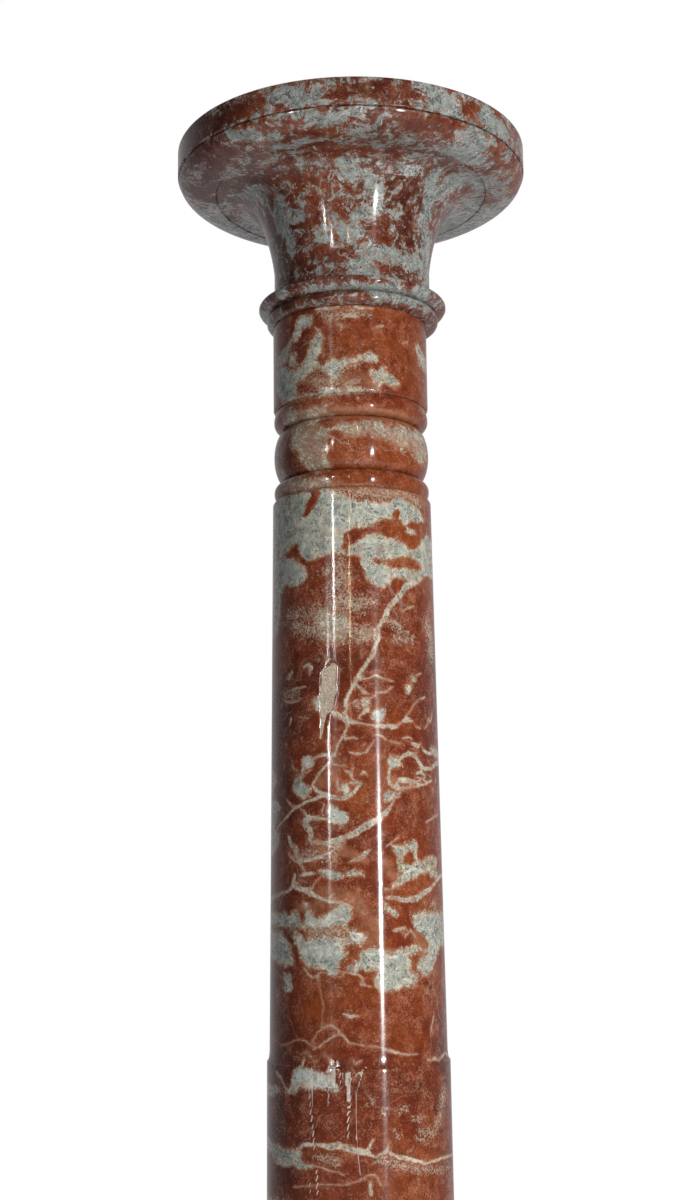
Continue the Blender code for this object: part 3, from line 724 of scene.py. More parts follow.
def capital_outline(sizes, spacing):
    """From the middle of the table top out over the rim and down to the joint."""
    top = node_top("capital")
    bottom = node_bottom("capital")
    table = sizes.table_radius
    collar = sizes.collar_radius
    arris = 2 * MM
    edge = 1.2 * MM
    groove = top - sizes.rim_height
    groove_wall = table - 3.4 * MM
    ovolo_radius = table - MM - sizes.ovolo_reach
    ovolo_foot = groove - sizes.ovolo_height
    ovolo_turn = (sizes.ovolo_reach, -sizes.ovolo_height)
    cove_head = ovolo_foot + 0.5 * MM
    cove_foot = cove_head - sizes.cove_height
    ring_top = cove_foot - sizes.collar_height
    notch = bottom + 10.2 * MM
    notch_radius = collar + 2.3 * MM
    ring_radius = collar + sizes.ring_projection
    bead_radius = collar + 6.2 * MM
    points = [(0, top), (table - arris, top)]
    points += elliptic_arc((table - arris, top - arris), (arris, arris), 90, 0, 0.7 * MM)
    points += elliptic_arc((table - edge, groove + edge), (edge, edge), 0, -90, 0.4 * MM)
    points += [(groove_wall, groove), (groove_wall, groove - edge)]
    points += elliptic_arc((ovolo_radius, groove), ovolo_turn, 6, 90, spacing)
    points += [(ovolo_radius - 0.6 * MM, ovolo_foot + edge)]
    points += cove(cove_head, cove_foot, ovolo_radius - 1.5 * MM, collar, spacing)
    points += bulge(ring_top, notch, (collar, ring_radius, notch_radius), spacing)
    points += bulge(notch, bottom, (notch_radius, bead_radius, collar), spacing)
    points += [(0, bottom)]
    return evened(points, spacing)


def shaft_outline(sizes, spacing):
    """From the middle of the neck's bed out and down to the middle of the foot."""
    top = node_top("shaft")
    bottom = node_bottom("shaft")
    neck = sizes.neck_radius
    head = sizes.shaft_head_radius
    foot = sizes.shaft_foot_radius
    ease = 0.4 * MM
    band = neck - ease
    deep = band - 9 * MM
    neck_notch = top - 68.9 * MM
    upper_notch = neck_notch - 16.1 * MM
    lower_notch = upper_notch - 41.8 * MM
    head_notch = lower_notch - 15 * MM
    under_neck = (2.6 * MM, 2.5 * MM)
    shoulder = (4.1 * MM, 3 * MM)
    neck_seat = neck - under_neck[0]
    head_seat = head - shoulder[0]
    step_radius = foot + 2 * MM
    drum_radius = step_radius + MM
    foot_radius = drum_radius + 5 * MM
    flare_top = bottom + 19 * MM
    step = flare_top + sizes.drum_height
    points = [(0, top), (neck - ease, top), (neck, top - ease)]
    points += elliptic_arc((neck_seat, neck_notch + under_neck[1]), under_neck, 0, -90, 0.6 * MM)
    points += bulge(neck_notch, upper_notch, (neck_seat, band, deep), 1.2 * MM)
    points += bulge(upper_notch, lower_notch, (deep, band, deep), 1.6 * MM)
    points += bulge(lower_notch, head_notch, (deep, band, head_seat), 1.2 * MM)
    points += elliptic_arc((head_seat, head_notch - shoulder[1]), shoulder, 90, 0, 0.7 * MM)
    points += hollow(step + 9.5 * MM, step + 0.3 * MM, foot, step_radius - 0.2 * MM, 0.3 * MM)
    points += [(step_radius, step - 0.2 * MM)]
    points += hollow(flare_top, bottom + 7 * MM, drum_radius, foot_radius, 1.5 * MM)
    points += [(foot_radius, bottom + ease), (foot_radius - ease, bottom), (0, bottom)]
    return evened(points, spacing)


def base_outline(sizes, spacing):
    """From the middle of the base's bed out and down to the middle of its underside."""
    top = node_top("base")
    bottom = node_bottom("base")
    crown = sizes.base_radius
    foot = crown - 4 * MM
    wall = crown - 12 * MM
    fillet = wall - 6 * MM
    scotia_foot = fillet - 3 * MM
    seat = scotia_foot - 16 * MM
    torus_bottom = bottom + 8 * MM
    torus_top = torus_bottom + 36 * MM
    scotia_bottom = torus_top + 5 * MM
    ease = 0.5 * MM
    points = [(0, top), (seat - ease, top), (seat, top - ease)]
    points += hollow(top - 5 * MM, scotia_bottom, seat, scotia_foot, spacing)
    points += [(fillet - ease, scotia_bottom), (fillet, scotia_bottom - ease), (fillet, torus_top)]
    points += bulge(torus_top, torus_bottom, (wall, crown, wall), spacing)
    points += [(foot - ease, torus_bottom), (foot, torus_bottom - ease)]
    points += [(foot, bottom + ease), (foot - ease, bottom), (0, bottom)]
    return evened(points, spacing)


def face_outwards():
    """Turn all faces of the mesh in edit mode outwards, leave edit mode and smooth gentle angles."""
    bpy.ops.mesh.select_all(action="SELECT")
    bpy.ops.mesh.normals_make_consistent(inside=False)
    bpy.ops.object.mode_set(mode="OBJECT")
    bpy.ops.object.shade_smooth_by_angle(angle=SHARP_ANGLE)


def turn(name, outline, facets, axis_x=0.0):
    """Draw an outline by extruding one point along it, then turn it about an upright axis."""
    deselect_all()
    bpy.ops.mesh.primitive_plane_add(size=2 * MM, location=(axis_x, 0, 0))
    piece = bpy.context.object
    piece.name = name
    bpy.ops.object.mode_set(mode="EDIT")
    bpy.ops.mesh.merge(type="CENTER")
    bpy.ops.transform.translate(value=(outline[0][0], 0, outline[0][1]))
    for before, after in zip(outline, outline[1:]):
        move = (after[0] - before[0], 0, after[1] - before[1])
        bpy.ops.mesh.extrude_vertices_move(TRANSFORM_OT_translate={"value": move})
    bpy.ops.object.mode_set(mode="OBJECT")
    lathe = piece.modifiers.new("lathe", "SCREW")
    lathe.steps = lathe.render_steps = facets
    lathe.use_merge_vertices = True
    lathe.merge_threshold = WELD
    bpy.ops.object.modifier_apply(modifier=lathe.name)
    bpy.ops.object.transform_apply(location=True, rotation=False, scale=False)
    bpy.ops.object.mode_set(mode="EDIT")
    bpy.ops.mesh.select_all(action="SELECT")
    bpy.ops.mesh.remove_doubles(threshold=WELD)
    face_outwards()
    return piece


def points_of(piece):
    places = np.empty(len(piece.data.vertices) * 3, np.float32)
    piece.data.vertices.foreach_get("co", places)
    return places.reshape(-1, 3).astype(float)


def store(piece, name, values):
    """Keep one number for each point of the mesh, for the marble to read."""
    layer = piece.data.attributes.new(name, "FLOAT", "POINT")
    layer.data.foreach_set("value", np.asarray(values, np.float32))


def near(places, outline):
    """Which places lie within the margin of an outline's or a stroke's box."""
    low = outline.min(0) - MARGIN
    high = outline.max(0) + MARGIN
    return np.flatnonzero(((places > low) & (places < high)).all(1))


def unrolled(marks, girth):
    """Marks in degrees and millimetres as arrays in millimetres, at the girth's radius."""
    return [np.array([(math.radians(mark[0]) * girth, *mark[1:]) for mark in group]) for group in marks]


def off_segment(places, start, end):
    """Where along a segment the nearest point is, as a share, and the way from it to each place."""
    run = end - start
    share = np.clip((places - start) @ run / max(run @ run, 1e-9), 0, 1)
    return share, places - start - share[:, None] * run


def nearest_on_strokes(places, strokes):
    """For each place, the signed distance to the stroke whose edge is nearest, and its half width."""
    gap = np.full(len(places), FAR)
    side = np.full(len(places), FAR)
    half = np.ones(len(places))
    for stroke in strokes:
        around = near(places, stroke[:, :2])
        for start, end in zip(stroke, stroke[1:]):
            share, way = off_segment(places[around], start[:2], end[:2])
            distance = np.hypot(*way.T)
            width = start[2] + (end[2] - start[2]) * share
            run = end[:2] - start[:2]
            hand = np.where(run[0] * way[:, 1] - run[1] * way[:, 0] >= 0, 1, -1)
            nearer = distance - width < gap[around]
            chosen = around[nearer]
            gap[chosen] = (distance - width)[nearer]
            side[chosen] = (distance * hand)[nearer]
            half[chosen] = width[nearer]
    return side, half


def depth_in_patches(places, outlines):
    """How deep each place lies inside the patches, in millimetres; less than 0 outside."""
    depth = np.full(len(places), -FAR)
    for outline in outlines:
        around = near(places, outline)
        here = places[around]
        distance = np.full(len(around), FAR)
        within = np.zeros(len(around), bool)
        for start, end in zip(outline, np.roll(outline, -1, 0)):
            distance = np.minimum(distance, np.hypot(*off_segment(here, start, end)[1].T))
            rise = end[1] - start[1]
            if rise:
                crossing = start[0] + (here[:, 1] - start[1]) / rise * (end[0] - start[0])
                level = (start[1] > here[:, 1]) != (end[1] > here[:, 1])
                within ^= level & (here[:, 0] < crossing)
        depth[around] = np.maximum(depth[around], np.where(within, distance, -distance))
    return depth


def inside(places, strokes, softness):
    """1 deep inside the strokes, 0 at their edges and -1 well outside, in steps of the softness."""
    side, half = nearest_on_strokes(places, strokes)
    return np.clip((half - np.abs(side)) / np.minimum(half, softness), -1, 1)


def store_line(piece, name, places, strokes, widest=12, clear=0.8, fall=1.5):
    """Store a thin line as its signed offset and its half width, in millimetres.

    Past a clear strip beside the line the half width falls away, so that two lines whose signs
    differ leave no false line midway between them.
    """
    side, half = nearest_on_strokes(places, strokes)
    store(piece, name + "_offset", np.clip(side, -widest, widest))
    store(piece, name + "_half", half - fall * np.maximum(0, np.abs(side) - half - clear))


def smooth_step(low, high, values):
    """0 at low, 1 at high, smooth between; low may be the greater."""
    share = np.clip((values - low) / (high - low), 0, 1)
    return share * share * (3 - 2 * share)


class Figure:
    """A material's node tree, built with short calls. Any value may be a number or a socket."""

    def __init__(self, name, shift, swirl):
        self.material = bpy.data.materials.new(name)
        self.material.use_nodes = True
        self.tree = self.material.node_tree
        self.shader = self.tree.nodes["Principled BSDF"]
        place = self.tree.nodes.new("ShaderNodeTexCoord").outputs["Object"]
        mapping = self.node("ShaderNodeMapping", {"Vector": place, "Location": shift})
        self.place = mapping.outputs[0]
        self.bent = self.warp(self.place, 16, 0.030)
        self.fine = self.warp(self.warp(self.place, 45, swirl, 2), 170, 0.004, 3)
        self.grain = self.warp(self.place, 90, 0.006, 3)

    def node(self, kind, inputs, **settings):
        made = self.tree.nodes.new(kind)
        for setting, value in settings.items():
            setattr(made, setting, value)
        for key, value in inputs.items():
            if isinstance(value, bpy.types.NodeSocket):
                self.tree.links.new(value, made.inputs[key])
            else:
                made.inputs[key].default_value = value
        return made

    def attribute(self, name):
        return self.node("ShaderNodeAttribute", {}, attribute_name=name).outputs["Fac"]

    def noise(self, place, scale, detail=3.0, roughness=0.55, colour=False):
        inputs = {"Vector": place, "Scale": scale, "Detail": detail, "Roughness": roughness}
        return self.node("ShaderNodeTexNoise", inputs).outputs[1 if colour else 0]

    def swing(self, place, scale, detail, roughness):
        """A noise that swings about 0."""
        return self.calc("SUBTRACT", self.noise(place, scale, detail, roughness), 0.5)

    def calc(self, operation, first, second=0.0, third=0.0):
        inputs = {0: first, 1: second, 2: third}
        return self.node("ShaderNodeMath", inputs, operation=operation).outputs[0]

    def times(self, first, second):
        return self.calc("MULTIPLY", first, second)

    def times_add(self, first, second, third):
        return self.calc("MULTIPLY_ADD", first, second, third)

    def fade(self, value, low, high):
        """0 at low, 1 at high, smooth between; low may be the greater."""
        inputs = {"Value": value, "From Min": low, "From Max": high}
        return self.node("ShaderNodeMapRange", inputs, interpolation_type="SMOOTHSTEP").outputs[0]

    def blend(self, share, first, second, mode="MIX"):
        sockets = {0: share, 6: self.rgba(first), 7: self.rgba(second)}
        return self.node("ShaderNodeMix", sockets, data_type="RGBA", blend_type=mode).outputs[2]

    def lay(self, share, strength, under, over):
        """One colour laid over another as far as the share says, thinned by the strength."""
        return self.blend(self.times(share, strength), under, over)

    def shaded(self, colour, shade):
        return self.blend(1.0, colour, shade, "MULTIPLY")

    def rgba(self, colour):
        return colour if isinstance(colour, bpy.types.NodeSocket) else (*colour[:3], 1)

    def grey(self, value, low, high):
        """A grey that goes from low to high as the value goes from 0 to 1."""
        level = self.times_add(value, high - low, low)
        return self.node("ShaderNodeCombineColor", {0: level, 1: level, 2: level}).outputs[0]

    def threads(self, noise, width, gate, gate_low, gate_high):
        """Curves where one noise is at its middle, kept where a second noise is high."""
        off = self.calc("ABSOLUTE", self.swing(self.fine, *noise))
        kept = self.fade(self.noise(self.fine, *gate), gate_low, gate_high)
        return self.times(self.fade(off, width, width * 0.3), kept)

    def off_line(self, offset, half):
        """The distance from a line's edge, less than 0 on the line."""
        return self.calc("SUBTRACT", self.calc("ABSOLUTE", offset), half)

    def warp(self, place, scale, reach, detail=2.0):
        """Shift a place by noise, by up to about half the reach each way."""
        push = self.noise(place, scale, detail, colour=True)
        centred = self.node("ShaderNodeVectorMath", {0: push, 1: (0.5, 0.5, 0.5)}, operation="SUBTRACT")
        sockets = {0: centred.outputs[0], "Scale": reach}
        scaled = self.node("ShaderNodeVectorMath", sockets, operation="SCALE")
        moved = self.node("ShaderNodeVectorMath", {0: place, 1: scaled.outputs[0]}, operation="ADD")
        return moved.outputs[0]


def red_ground(fig, colours, figure, warmth_and_side_shade, shade):
    """The ground: maroon to rust in broad patches, granular, with pale pink and dark flecks."""
    tone = fig.calc("SUBTRACT", fig.noise(fig.bent, 11, 5, 0.6), figure["maroon"])
    # The warmth brightens the ground towards the right side as painted light and darkens it to maroon
    # towards the left as painted shade.
    tone = fig.calc("ADD", tone, warmth_and_side_shade)
    ground = fig.blend(fig.fade(tone, 0.34, 0.54), colours.ground_dark, colours.ground)
    ground = fig.blend(fig.fade(tone, 0.50, 0.66), ground, colours.ground_warm)
    ground = fig.shaded(ground, shade)
    crowd = fig.noise(fig.grain, 75, 4, 0.65)
    for scale, start in ((620, 0.85), (1050, 0.82)):
        grain = fig.times_add(crowd, 0.60, fig.noise(fig.grain, scale, 2, 0.6))
        ground = fig.lay(fig.fade(grain, start, start + 0.17), figure["fleck"], ground, colours.fleck)
    dark_fleck = fig.fade(fig.noise(fig.grain, 300, 4, 0.70), 0.44, 0.30)
    return fig.lay(dark_fleck, figure["dark_fleck"], ground, colours.ground_dark)


def grey_cloud(fig, colours, figure, level, lump_shade):
    """The clouds: cream at their edges, grey inside, granular, with dark specks and fibres."""
    depth = fig.times_add(fig.noise(fig.bent, 34, 4, 0.6), 2.4, figure["cream"])
    depth = fig.calc("ADD", depth, level)
    cloud = fig.blend(fig.fade(depth, 0.25, 0.95), colours.cloud_cream, colours.cloud)
    cloud = fig.shaded(cloud, lump_shade)
    fibres = fig.threads((430, 2, 0.5), 0.06, (120, 3, 0.6), 0.42, 0.56)
    cloud = fig.lay(fibres, figure["fibre"], cloud, colours.cloud_dark)
    specks = fig.fade(fig.noise(fig.grain, 760, 2, 0.5), 0.61, 0.70)
    cloud = fig.lay(specks, 0.45, cloud, colours.cloud_dark)
    hairs = fig.threads((100, 3, 0.55), 0.020, (85, 2, 0.5), 0.46, 0.56)
    cloud = fig.lay(hairs, 0.70, cloud, colours.cloud_dark)
    shells = fig.threads((120, 2, 0.5), 0.032, (60, 3, 0.6), 0.46, 0.58)
    cloud = fig.lay(shells, figure["shell"], cloud, colours.scratch_and_glint)
    blush = fig.fade(fig.noise(fig.fine, 110, 6, 0.72), 0.54, 0.66)
    return fig.lay(blush, 0.50, cloud, colours.halo)


def lay_films(fig, colours, colour, front, wander, halo, cloud):
    """Tan stains, thin clouds and dusty hazes on the front."""
    stain = fig.times_add(wander, 1.6, fig.attribute("stain"))
    stain = fig.times(fig.fade(stain, 0.30, 0.80), front)
    colour = fig.lay(stain, 0.45, colour, halo)
    film = fig.times_add(wander, 1.8, fig.attribute("film"))
    film = fig.times(fig.fade(film, 0.10, 1.10), front)
    colour = fig.lay(film, 0.40, colour, cloud)
    thick = fig.times(fig.attribute("haze"), front)
    drops = fig.times_add(thick, 0.18, fig.noise(fig.grain, 640, 4, 0.72))
    haze = fig.times(fig.fade(drops, 0.60, 0.70), fig.fade(thick, 0.02, 0.40))
    return fig.lay(haze, 0.78, colour, fig.blend(0.75, colours.fleck, cloud))


def lay_veins(fig, colours, colour, swell, halo, cloud, lump_shade):
    """Veins with a tan stain, cream edges and, where they are wide, a grey core."""
    width = fig.attribute("vein_half")
    reach = fig.calc("MAXIMUM", width, 0.3)
    sway = fig.swing(fig.place, 120, 7, 0.70)
    offset = fig.times_add(sway, fig.times_add(reach, 1.9, 1.6), fig.attribute("vein_offset"))
    offset = fig.times_add(fig.swing(fig.place, 270, 2, 0.6), 2.2, offset)
    half = fig.times(width, fig.times_add(swell, 3.6, -0.8))
    gap = fig.times_add(fig.swing(fig.place, 520, 3, 0.7), 1.8, fig.off_line(offset, half))
    broken = fig.times_add(fig.fade(fig.noise(fig.fine, 130, 4, 0.6), 0.36, 0.54), 0.6, 0.4)
    broken = fig.times(broken, fig.times_add(fig.fade(reach, 0.3, 1.2), 0.5, 0.5))
    edge = fig.shaded(colours.vein, lump_shade)
    inner = fig.blend(fig.fade(gap, -0.3, -0.9), edge, cloud)
    colour = fig.lay(fig.fade(gap, 2.4, 0.0), 0.5, colour, halo)
    return fig.lay(fig.fade(gap, 0.50, -0.45), broken, colour, inner)


def lay_scratches(fig, colours, colour, swell, sway, lumps):
    """White bruises, two painted glints on pits at the step, and rows of short slanting scratches 5 mm
    apart.
    """
    offset = fig.times_add(sway, 0.4, fig.attribute("white_offset"))
    half = fig.times(fig.attribute("white_half"), fig.times_add(swell, 1.6, 0.2))
    # The bruise white also paints the two glints at the step.
    bruise_and_glint = fig.shaded(colours.scratch_and_glint, fig.grey(lumps, 0.2, 1.8))
    colour = fig.lay(fig.fade(fig.off_line(offset, half), 0.25, -0.20), 0.70, colour, bruise_and_glint)
    height = fig.node("ShaderNodeSeparateXYZ", {0: fig.place}).outputs[2]
    along = fig.times_add(sway, 0.3, fig.times(height, 1 / (5 * MM)))
    along = fig.calc("SUBTRACT", fig.calc("FRACT", along), 0.5)
    across = fig.times_add(along, -1.8, fig.attribute("row_offset"))
    gap = fig.off_line(across, fig.attribute("row_half"))
    dash = fig.times(fig.fade(gap, 0.15, -0.15), fig.fade(fig.calc("ABSOLUTE", along), 0.47, 0.38))
    return fig.lay(dash, 0.85, colour, colours.scratch_and_glint)


def marble(name, colours, shift, placed, figure):
    """The polished marble.

    placed is "cloud" where the piece carries placed clouds, and "all" where it carries stains,
    hazes, veins, white marks, specks and the filled patch as well.
    """
    fig = Figure(name, shift, figure["swirl"])

    # where the grey clouds lie
    wander = fig.swing(fig.fine, figure["wander_scale"], 7, 0.68)
    speckle = fig.swing(fig.fine, figure["speckle_scale"], 7, 0.76)
    loose = fig.times_add(fig.noise(fig.bent, 7.5, 3, 0.55), 9.0, figure["loose"])
    field = fig.calc("MAXIMUM", fig.calc("MINIMUM", loose, 1.0), -1.0)
    warmth_and_side_shade = 0.0
    if placed:
        away = fig.attribute("away")
        front = fig.calc("SUBTRACT", 1.0, away)
        field = fig.times_add(field, away, fig.times(fig.attribute("cloud"), front))
        # The stored warmth carries painted light on the right side and painted shade on the left.
        warmth_and_side_shade = fig.attribute("warmth_and_side_shade")
    broad = fig.times_add(wander, figure["wander"], field)
    level = fig.times_add(speckle, figure["speckle"], broad)
    cloud_share = fig.fade(level, -figure["edge"], figure["edge"] * 0.7)
    halo_share = fig.fade(broad, -0.85, 0.10)

    # the ground, the tan halo round the clouds, and the clouds
    mottle = fig.noise(fig.fine, 150, 7, 0.78)
    shade = fig.grey(mottle, figure["mottle_low"], figure["mottle_high"])
    lumps = fig.noise(fig.fine, 210, 6, 0.78)
    lump_shade = fig.grey(lumps, figure["lump_low"], figure["lump_high"])
    ground = red_ground(fig, colours, figure, warmth_and_side_shade, shade)
    halo = fig.shaded(colours.halo, shade)
    cloud = grey_cloud(fig, colours, figure, level, lump_shade)
    colour = fig.lay(halo_share, figure["halo"], ground, halo)
    if placed == "all":
        colour = lay_films(fig, colours, colour, front, wander, halo, cloud)
        # The pale spots include a painted glint on the neck's notch.
        cloud = fig.lay(fig.attribute("pale"), 0.55, cloud, fig.shaded(colours.pale, lump_shade))
    colour = fig.blend(cloud_share, colour, cloud)

    # hair veins all over
    cell_place = {"Vector": fig.warp(fig.bent, 45, 0.022, 4), "Scale": 19}
    cells = fig.node("ShaderNodeTexVoronoi", cell_place, feature="DISTANCE_TO_EDGE")
    seams = fig.times(fig.fade(cells.outputs["Distance"], 0.012, 0.002),
                      fig.fade(fig.noise(fig.bent, 26, 2), 0.52, 0.64))
    colour = fig.lay(seams, 0.25, colour, colours.vein)

    roughness = fig.times_add(fig.fade(mottle, 0.25, 0.8), 0.03, 0.135)
    relief = fig.times(mottle, 0.25)
    if placed == "all":
        swell = fig.noise(fig.place, 190, 6, 0.80)
        sway = fig.swing(fig.place, 300, 3, 0.55)
        colour = lay_veins(fig, colours, colour, swell, halo, cloud, lump_shade)
        colour = lay_scratches(fig, colours, colour, swell, sway, lumps)
        specks = fig.fade(fig.times_add(sway, 2.0, fig.attribute("speck")), -0.3, 0.4)
        colour = fig.lay(specks, 0.8, colour, colours.cloud_dark)

        # the rough filled patch
        pits = fig.noise(fig.place, 700, 3, 0.75)
        patch = fig.fade(fig.times_add(sway, 2.0, fig.attribute("filler")), -0.15, 0.15)
        colour = fig.blend(patch, colour, fig.shaded(colours.filler, fig.grey(pits, -0.5, 2.5)))
        roughness = fig.times_add(patch, 0.45, roughness)
        relief = fig.times_add(fig.times(patch, pits), 5.0, relief)

    # the polish, with highlights drawn out round the stone
    # The figure's tone darkens and blues the capital's marble, the darkening partly painted shade for its
    # underside.
    colour = fig.shaded(colour, figure["tone"])
    bump = fig.node("ShaderNodeBump", {"Height": relief, "Strength": 0.35, "Distance": 0.2 * MM})
    tangent = fig.node("ShaderNodeTangent", {}, direction_type="RADIAL", axis="Z")
    shader = fig.shader
    fig.tree.links.new(colour, shader.inputs["Base Color"])
    fig.tree.links.new(roughness, shader.inputs["Roughness"])
    fig.tree.links.new(bump.outputs[0], shader.inputs["Normal"])
    fig.tree.links.new(tangent.outputs[0], shader.inputs["Tangent"])
    shader.inputs["IOR"].default_value = 1.54
    shader.inputs["Anisotropic"].default_value = 0.83
    shader.inputs["Anisotropic Rotation"].default_value = 0.25
    return fig.material


def finish_piece(piece, material, node):
    piece.data.materials.clear()
    piece.data.materials.append(material)
    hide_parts(node)
    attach(piece, "root")


def along_outline(piece_outline, radii, heights, batch=4000):
    """For each place, the length of outline between its start and the point nearest the place."""
    line = np.array(piece_outline)
    runs = np.concatenate([[0], np.cumsum(np.hypot(*np.diff(line, axis=0).T))])
    nearest = np.empty(len(radii), int)
    for first in range(0, len(radii), batch):
        part = slice(first, first + batch)
        gaps = np.hypot(radii[part, None] - line[:, 0], heights[part, None] - line[:, 1])
        nearest[part] = gaps.argmin(1)
    return runs[nearest]


class COLUMN_OT_capital(bpy.types.Operator):
    """Turn the capital: table top, rim, ovolo, cove, collar, ring and bead"""

    bl_idname = "column.capital"
    bl_label = "Capital"

    def execute(self, context):
        scene = context.scene
        sizes = scene.column_sizes
        low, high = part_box("capital")
        axis_x = (low.x + high.x) / 2
        outline = capital_outline(sizes, 1.5 * MM)
        piece = turn("capital_stone", outline, sizes.facets * 3 // 2, axis_x)
        places = points_of(piece)
        radii = np.hypot(places[:, 0] - axis_x, places[:, 1])
        angle = np.arctan2(places[:, 0] - axis_x, -places[:, 1])
        turned = np.degrees(angle)
        below_rim = (along_outline(outline, radii, places[:, 2]) - sizes.table_radius) / MM
        flat = np.stack([angle * CAPITAL_GIRTH, below_rim], 1)
        greys = inside(flat, unrolled(CAPITAL_GREYS, CAPITAL_GIRTH), 5)
        reds = inside(flat, unrolled(CAPITAL_REDS, CAPITAL_GIRTH), 5)
        placed = np.minimum(np.maximum(greys, -0.34), -reds) * 0.8
        hidden = smooth_step(*CAPITAL_FRONT, np.abs(turned))

        # the table top mixes the loose figure with red
        on_top = smooth_step(-3, -15, below_rim)
        store(piece, "cloud", placed + (-0.7 - placed) * on_top)
        store(piece, "away", hidden + (0.6 - hidden) * on_top)

        # warmer to the right, more maroon to the left: painted light on the right side and painted shade on
        # the left
        warmth_and_side_shade = 0.03 + 0.04 * smooth_step(0, 50, turned)
        store(piece, "warmth_and_side_shade", warmth_and_side_shade - 0.06 * smooth_step(-15, -60, turned))
        colours = scene.marble_colours
        material = marble("capital_marble", colours, (0.31, 0.17, 0.0), "cloud", CAPITAL_FIGURE)
        finish_piece(piece, material, "capital")
        return {"FINISHED"}


class COLUMN_OT_shaft(bpy.types.Operator):
    """Turn the shaft: neck, beads, waist, taper, step, drum and foot, with its placed marks"""

    bl_idname = "column.shaft"
    bl_label = "Shaft"

    def place_marks(self, piece, flat, turned):
        """Store the placed marks, and return how deep each place lies in the filled patch."""
        height = flat[:, 1]

        def depth(patches):
            return depth_in_patches(flat, unrolled(patches, SHAFT_GIRTH))

        def soft(strokes, softness):
            return 0.5 + 0.5 * inside(flat, unrolled(strokes, SHAFT_GIRTH), softness)

        # clouds: the block has clean edges, and those on the waist are broken and half faded
        crisp = HEAD_PATCHES + MIDDLE_PATCHES + DRUM_PATCHES
        field = np.full(len(flat), -1.0)
        for patches, softness in ((crisp, 3), (BAND_PATCHES, 4.5), (NECK_PATCHES, 4)):
            field = np.maximum(field, np.clip(depth(patches) / softness, -1, 1))
        waist = depth(WAIST_PATCHES) / 6
        field = np.maximum(field, np.clip(waist, -1, -0.25))
        field = np.maximum(field, np.clip(depth([BLOCK]) / 1.2, -1, 3))
        islands = np.clip(depth(RED_ISLANDS) / 3, -1, 1)
        store(piece, "cloud", np.minimum(field, -islands))
        store(piece, "film", np.clip(waist + 0.5, 0, 1))

        # hazes, stains, pale spots and the ground's warmth, greater at the top and to the right and less to
        # the left, which paints light on the right side and shade on the left
        haze = np.clip(depth(HAZE_PATCHES) / 6 + 0.3, 0, 1)
        store(piece, "haze", np.maximum(haze, soft(HAZES, 6)))
        store(piece, "stain", soft(STAINS, 7))
        store(piece, "pale", soft(PALE_SPOTS, 2.5))
        warmth_and_side_shade = 0.10 * smooth_step(600, 860, height) + 0.05 * smooth_step(-10, 50, turned)
        store(piece, "warmth_and_side_shade", warmth_and_side_shade - 0.10 * smooth_step(-15, -50, turned))
        hidden = smooth_step(*SHAFT_FRONT, np.abs(turned))
        store(piece, "away", np.maximum(hidden, smooth_step(300, 285, height)))

        # lines, specks and the filled patch
        veins = LONG_VEIN + UPPER_VEINS + LOOP_VEINS + LOWER_VEINS
        for name, strokes in (("vein", veins), ("white", WHITE_MARKS), ("row", SCRATCH_ROWS)):
            store_line(piece, name, flat, unrolled(strokes, SHAFT_GIRTH))
        specks = [(spot, (spot[0] + 0.1, *spot[1:])) for spot in DARK_SPECKS]
        side, half = nearest_on_strokes(flat, unrolled(specks, SHAFT_GIRTH))
        store(piece, "speck", np.maximum(half - np.abs(side), -9))
        filler = depth([FILLED_PATCH])
        store(piece, "filler", np.maximum(filler, -9))
        return filler

    def execute(self, context):
        scene = context.scene
        sizes = scene.column_sizes
        piece = turn("shaft_stone", shaft_outline(sizes, 2.3 * MM), sizes.facets)
        places = points_of(piece)
        angle = np.arctan2(places[:, 0], -places[:, 1])
        flat = np.stack([angle * SHAFT_GIRTH, places[:, 2] / MM], 1)
        filler = self.place_marks(piece, flat, np.degrees(angle))

        # the filled patch lies a little below the polished surface
        sunk = 0.5 * MM * smooth_step(-0.3, 0.6, filler)
        outward = places / np.maximum(np.hypot(places[:, 0], places[:, 1]), WELD)[:, None]
        outward[:, 2] = 0
        places -= outward * sunk[:, None]
        piece.data.vertices.foreach_set("co", places.astype(np.float32).ravel())
        piece.data.update()
        colours = scene.marble_colours
        material = marble("shaft_marble", colours, (0.0, 0.0, 0.0), "all", SHAFT_FIGURE)
        finish_piece(piece, material, "shaft")
        return {"FINISHED"}


class COLUMN_OT_base(bpy.types.Operator):
    """Turn the base: fillet, scotia, fillet, torus and foot"""

    bl_idname = "column.base"
    bl_label = "Base"

    def execute(self, context):
        sizes = context.scene.column_sizes
        piece = turn("base_stone", base_outline(sizes, 2.5 * MM), sizes.facets)
        colours = context.scene.marble_colours
        material = marble("base_marble", colours, (0.53, 0.29, 0.11), "", SHAFT_FIGURE)
        finish_piece(piece, material, "base")
        return {"FINISHED"}


class COLUMN_OT_plinth(bpy.types.Operator):
    """Cut the square plinth and ease its edges"""

    bl_idname = "column.plinth"
    bl_label = "Plinth"

    def execute(self, context):
        low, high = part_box("plinth")
        deselect_all()
        bpy.ops.mesh.primitive_cube_add(size=1, location=(low + high) / 2)
        piece = bpy.context.object
        piece.name = "plinth_stone"
        piece.scale = high - low
        bpy.ops.object.transform_apply(location=True, rotation=False, scale=True)
        bpy.ops.object.mode_set(mode="EDIT")
        bpy.ops.mesh.select_all(action="SELECT")
        bpy.ops.mesh.bevel(offset=3 * MM, segments=4, affect="EDGES")
        face_outwards()
        colours = context.scene.marble_colours
        material = marble("plinth_marble", colours, (0.83, 0.47, 0.37), "", SHAFT_FIGURE)
        finish_piece(piece, material, "plinth")
        return {"FINISHED"}


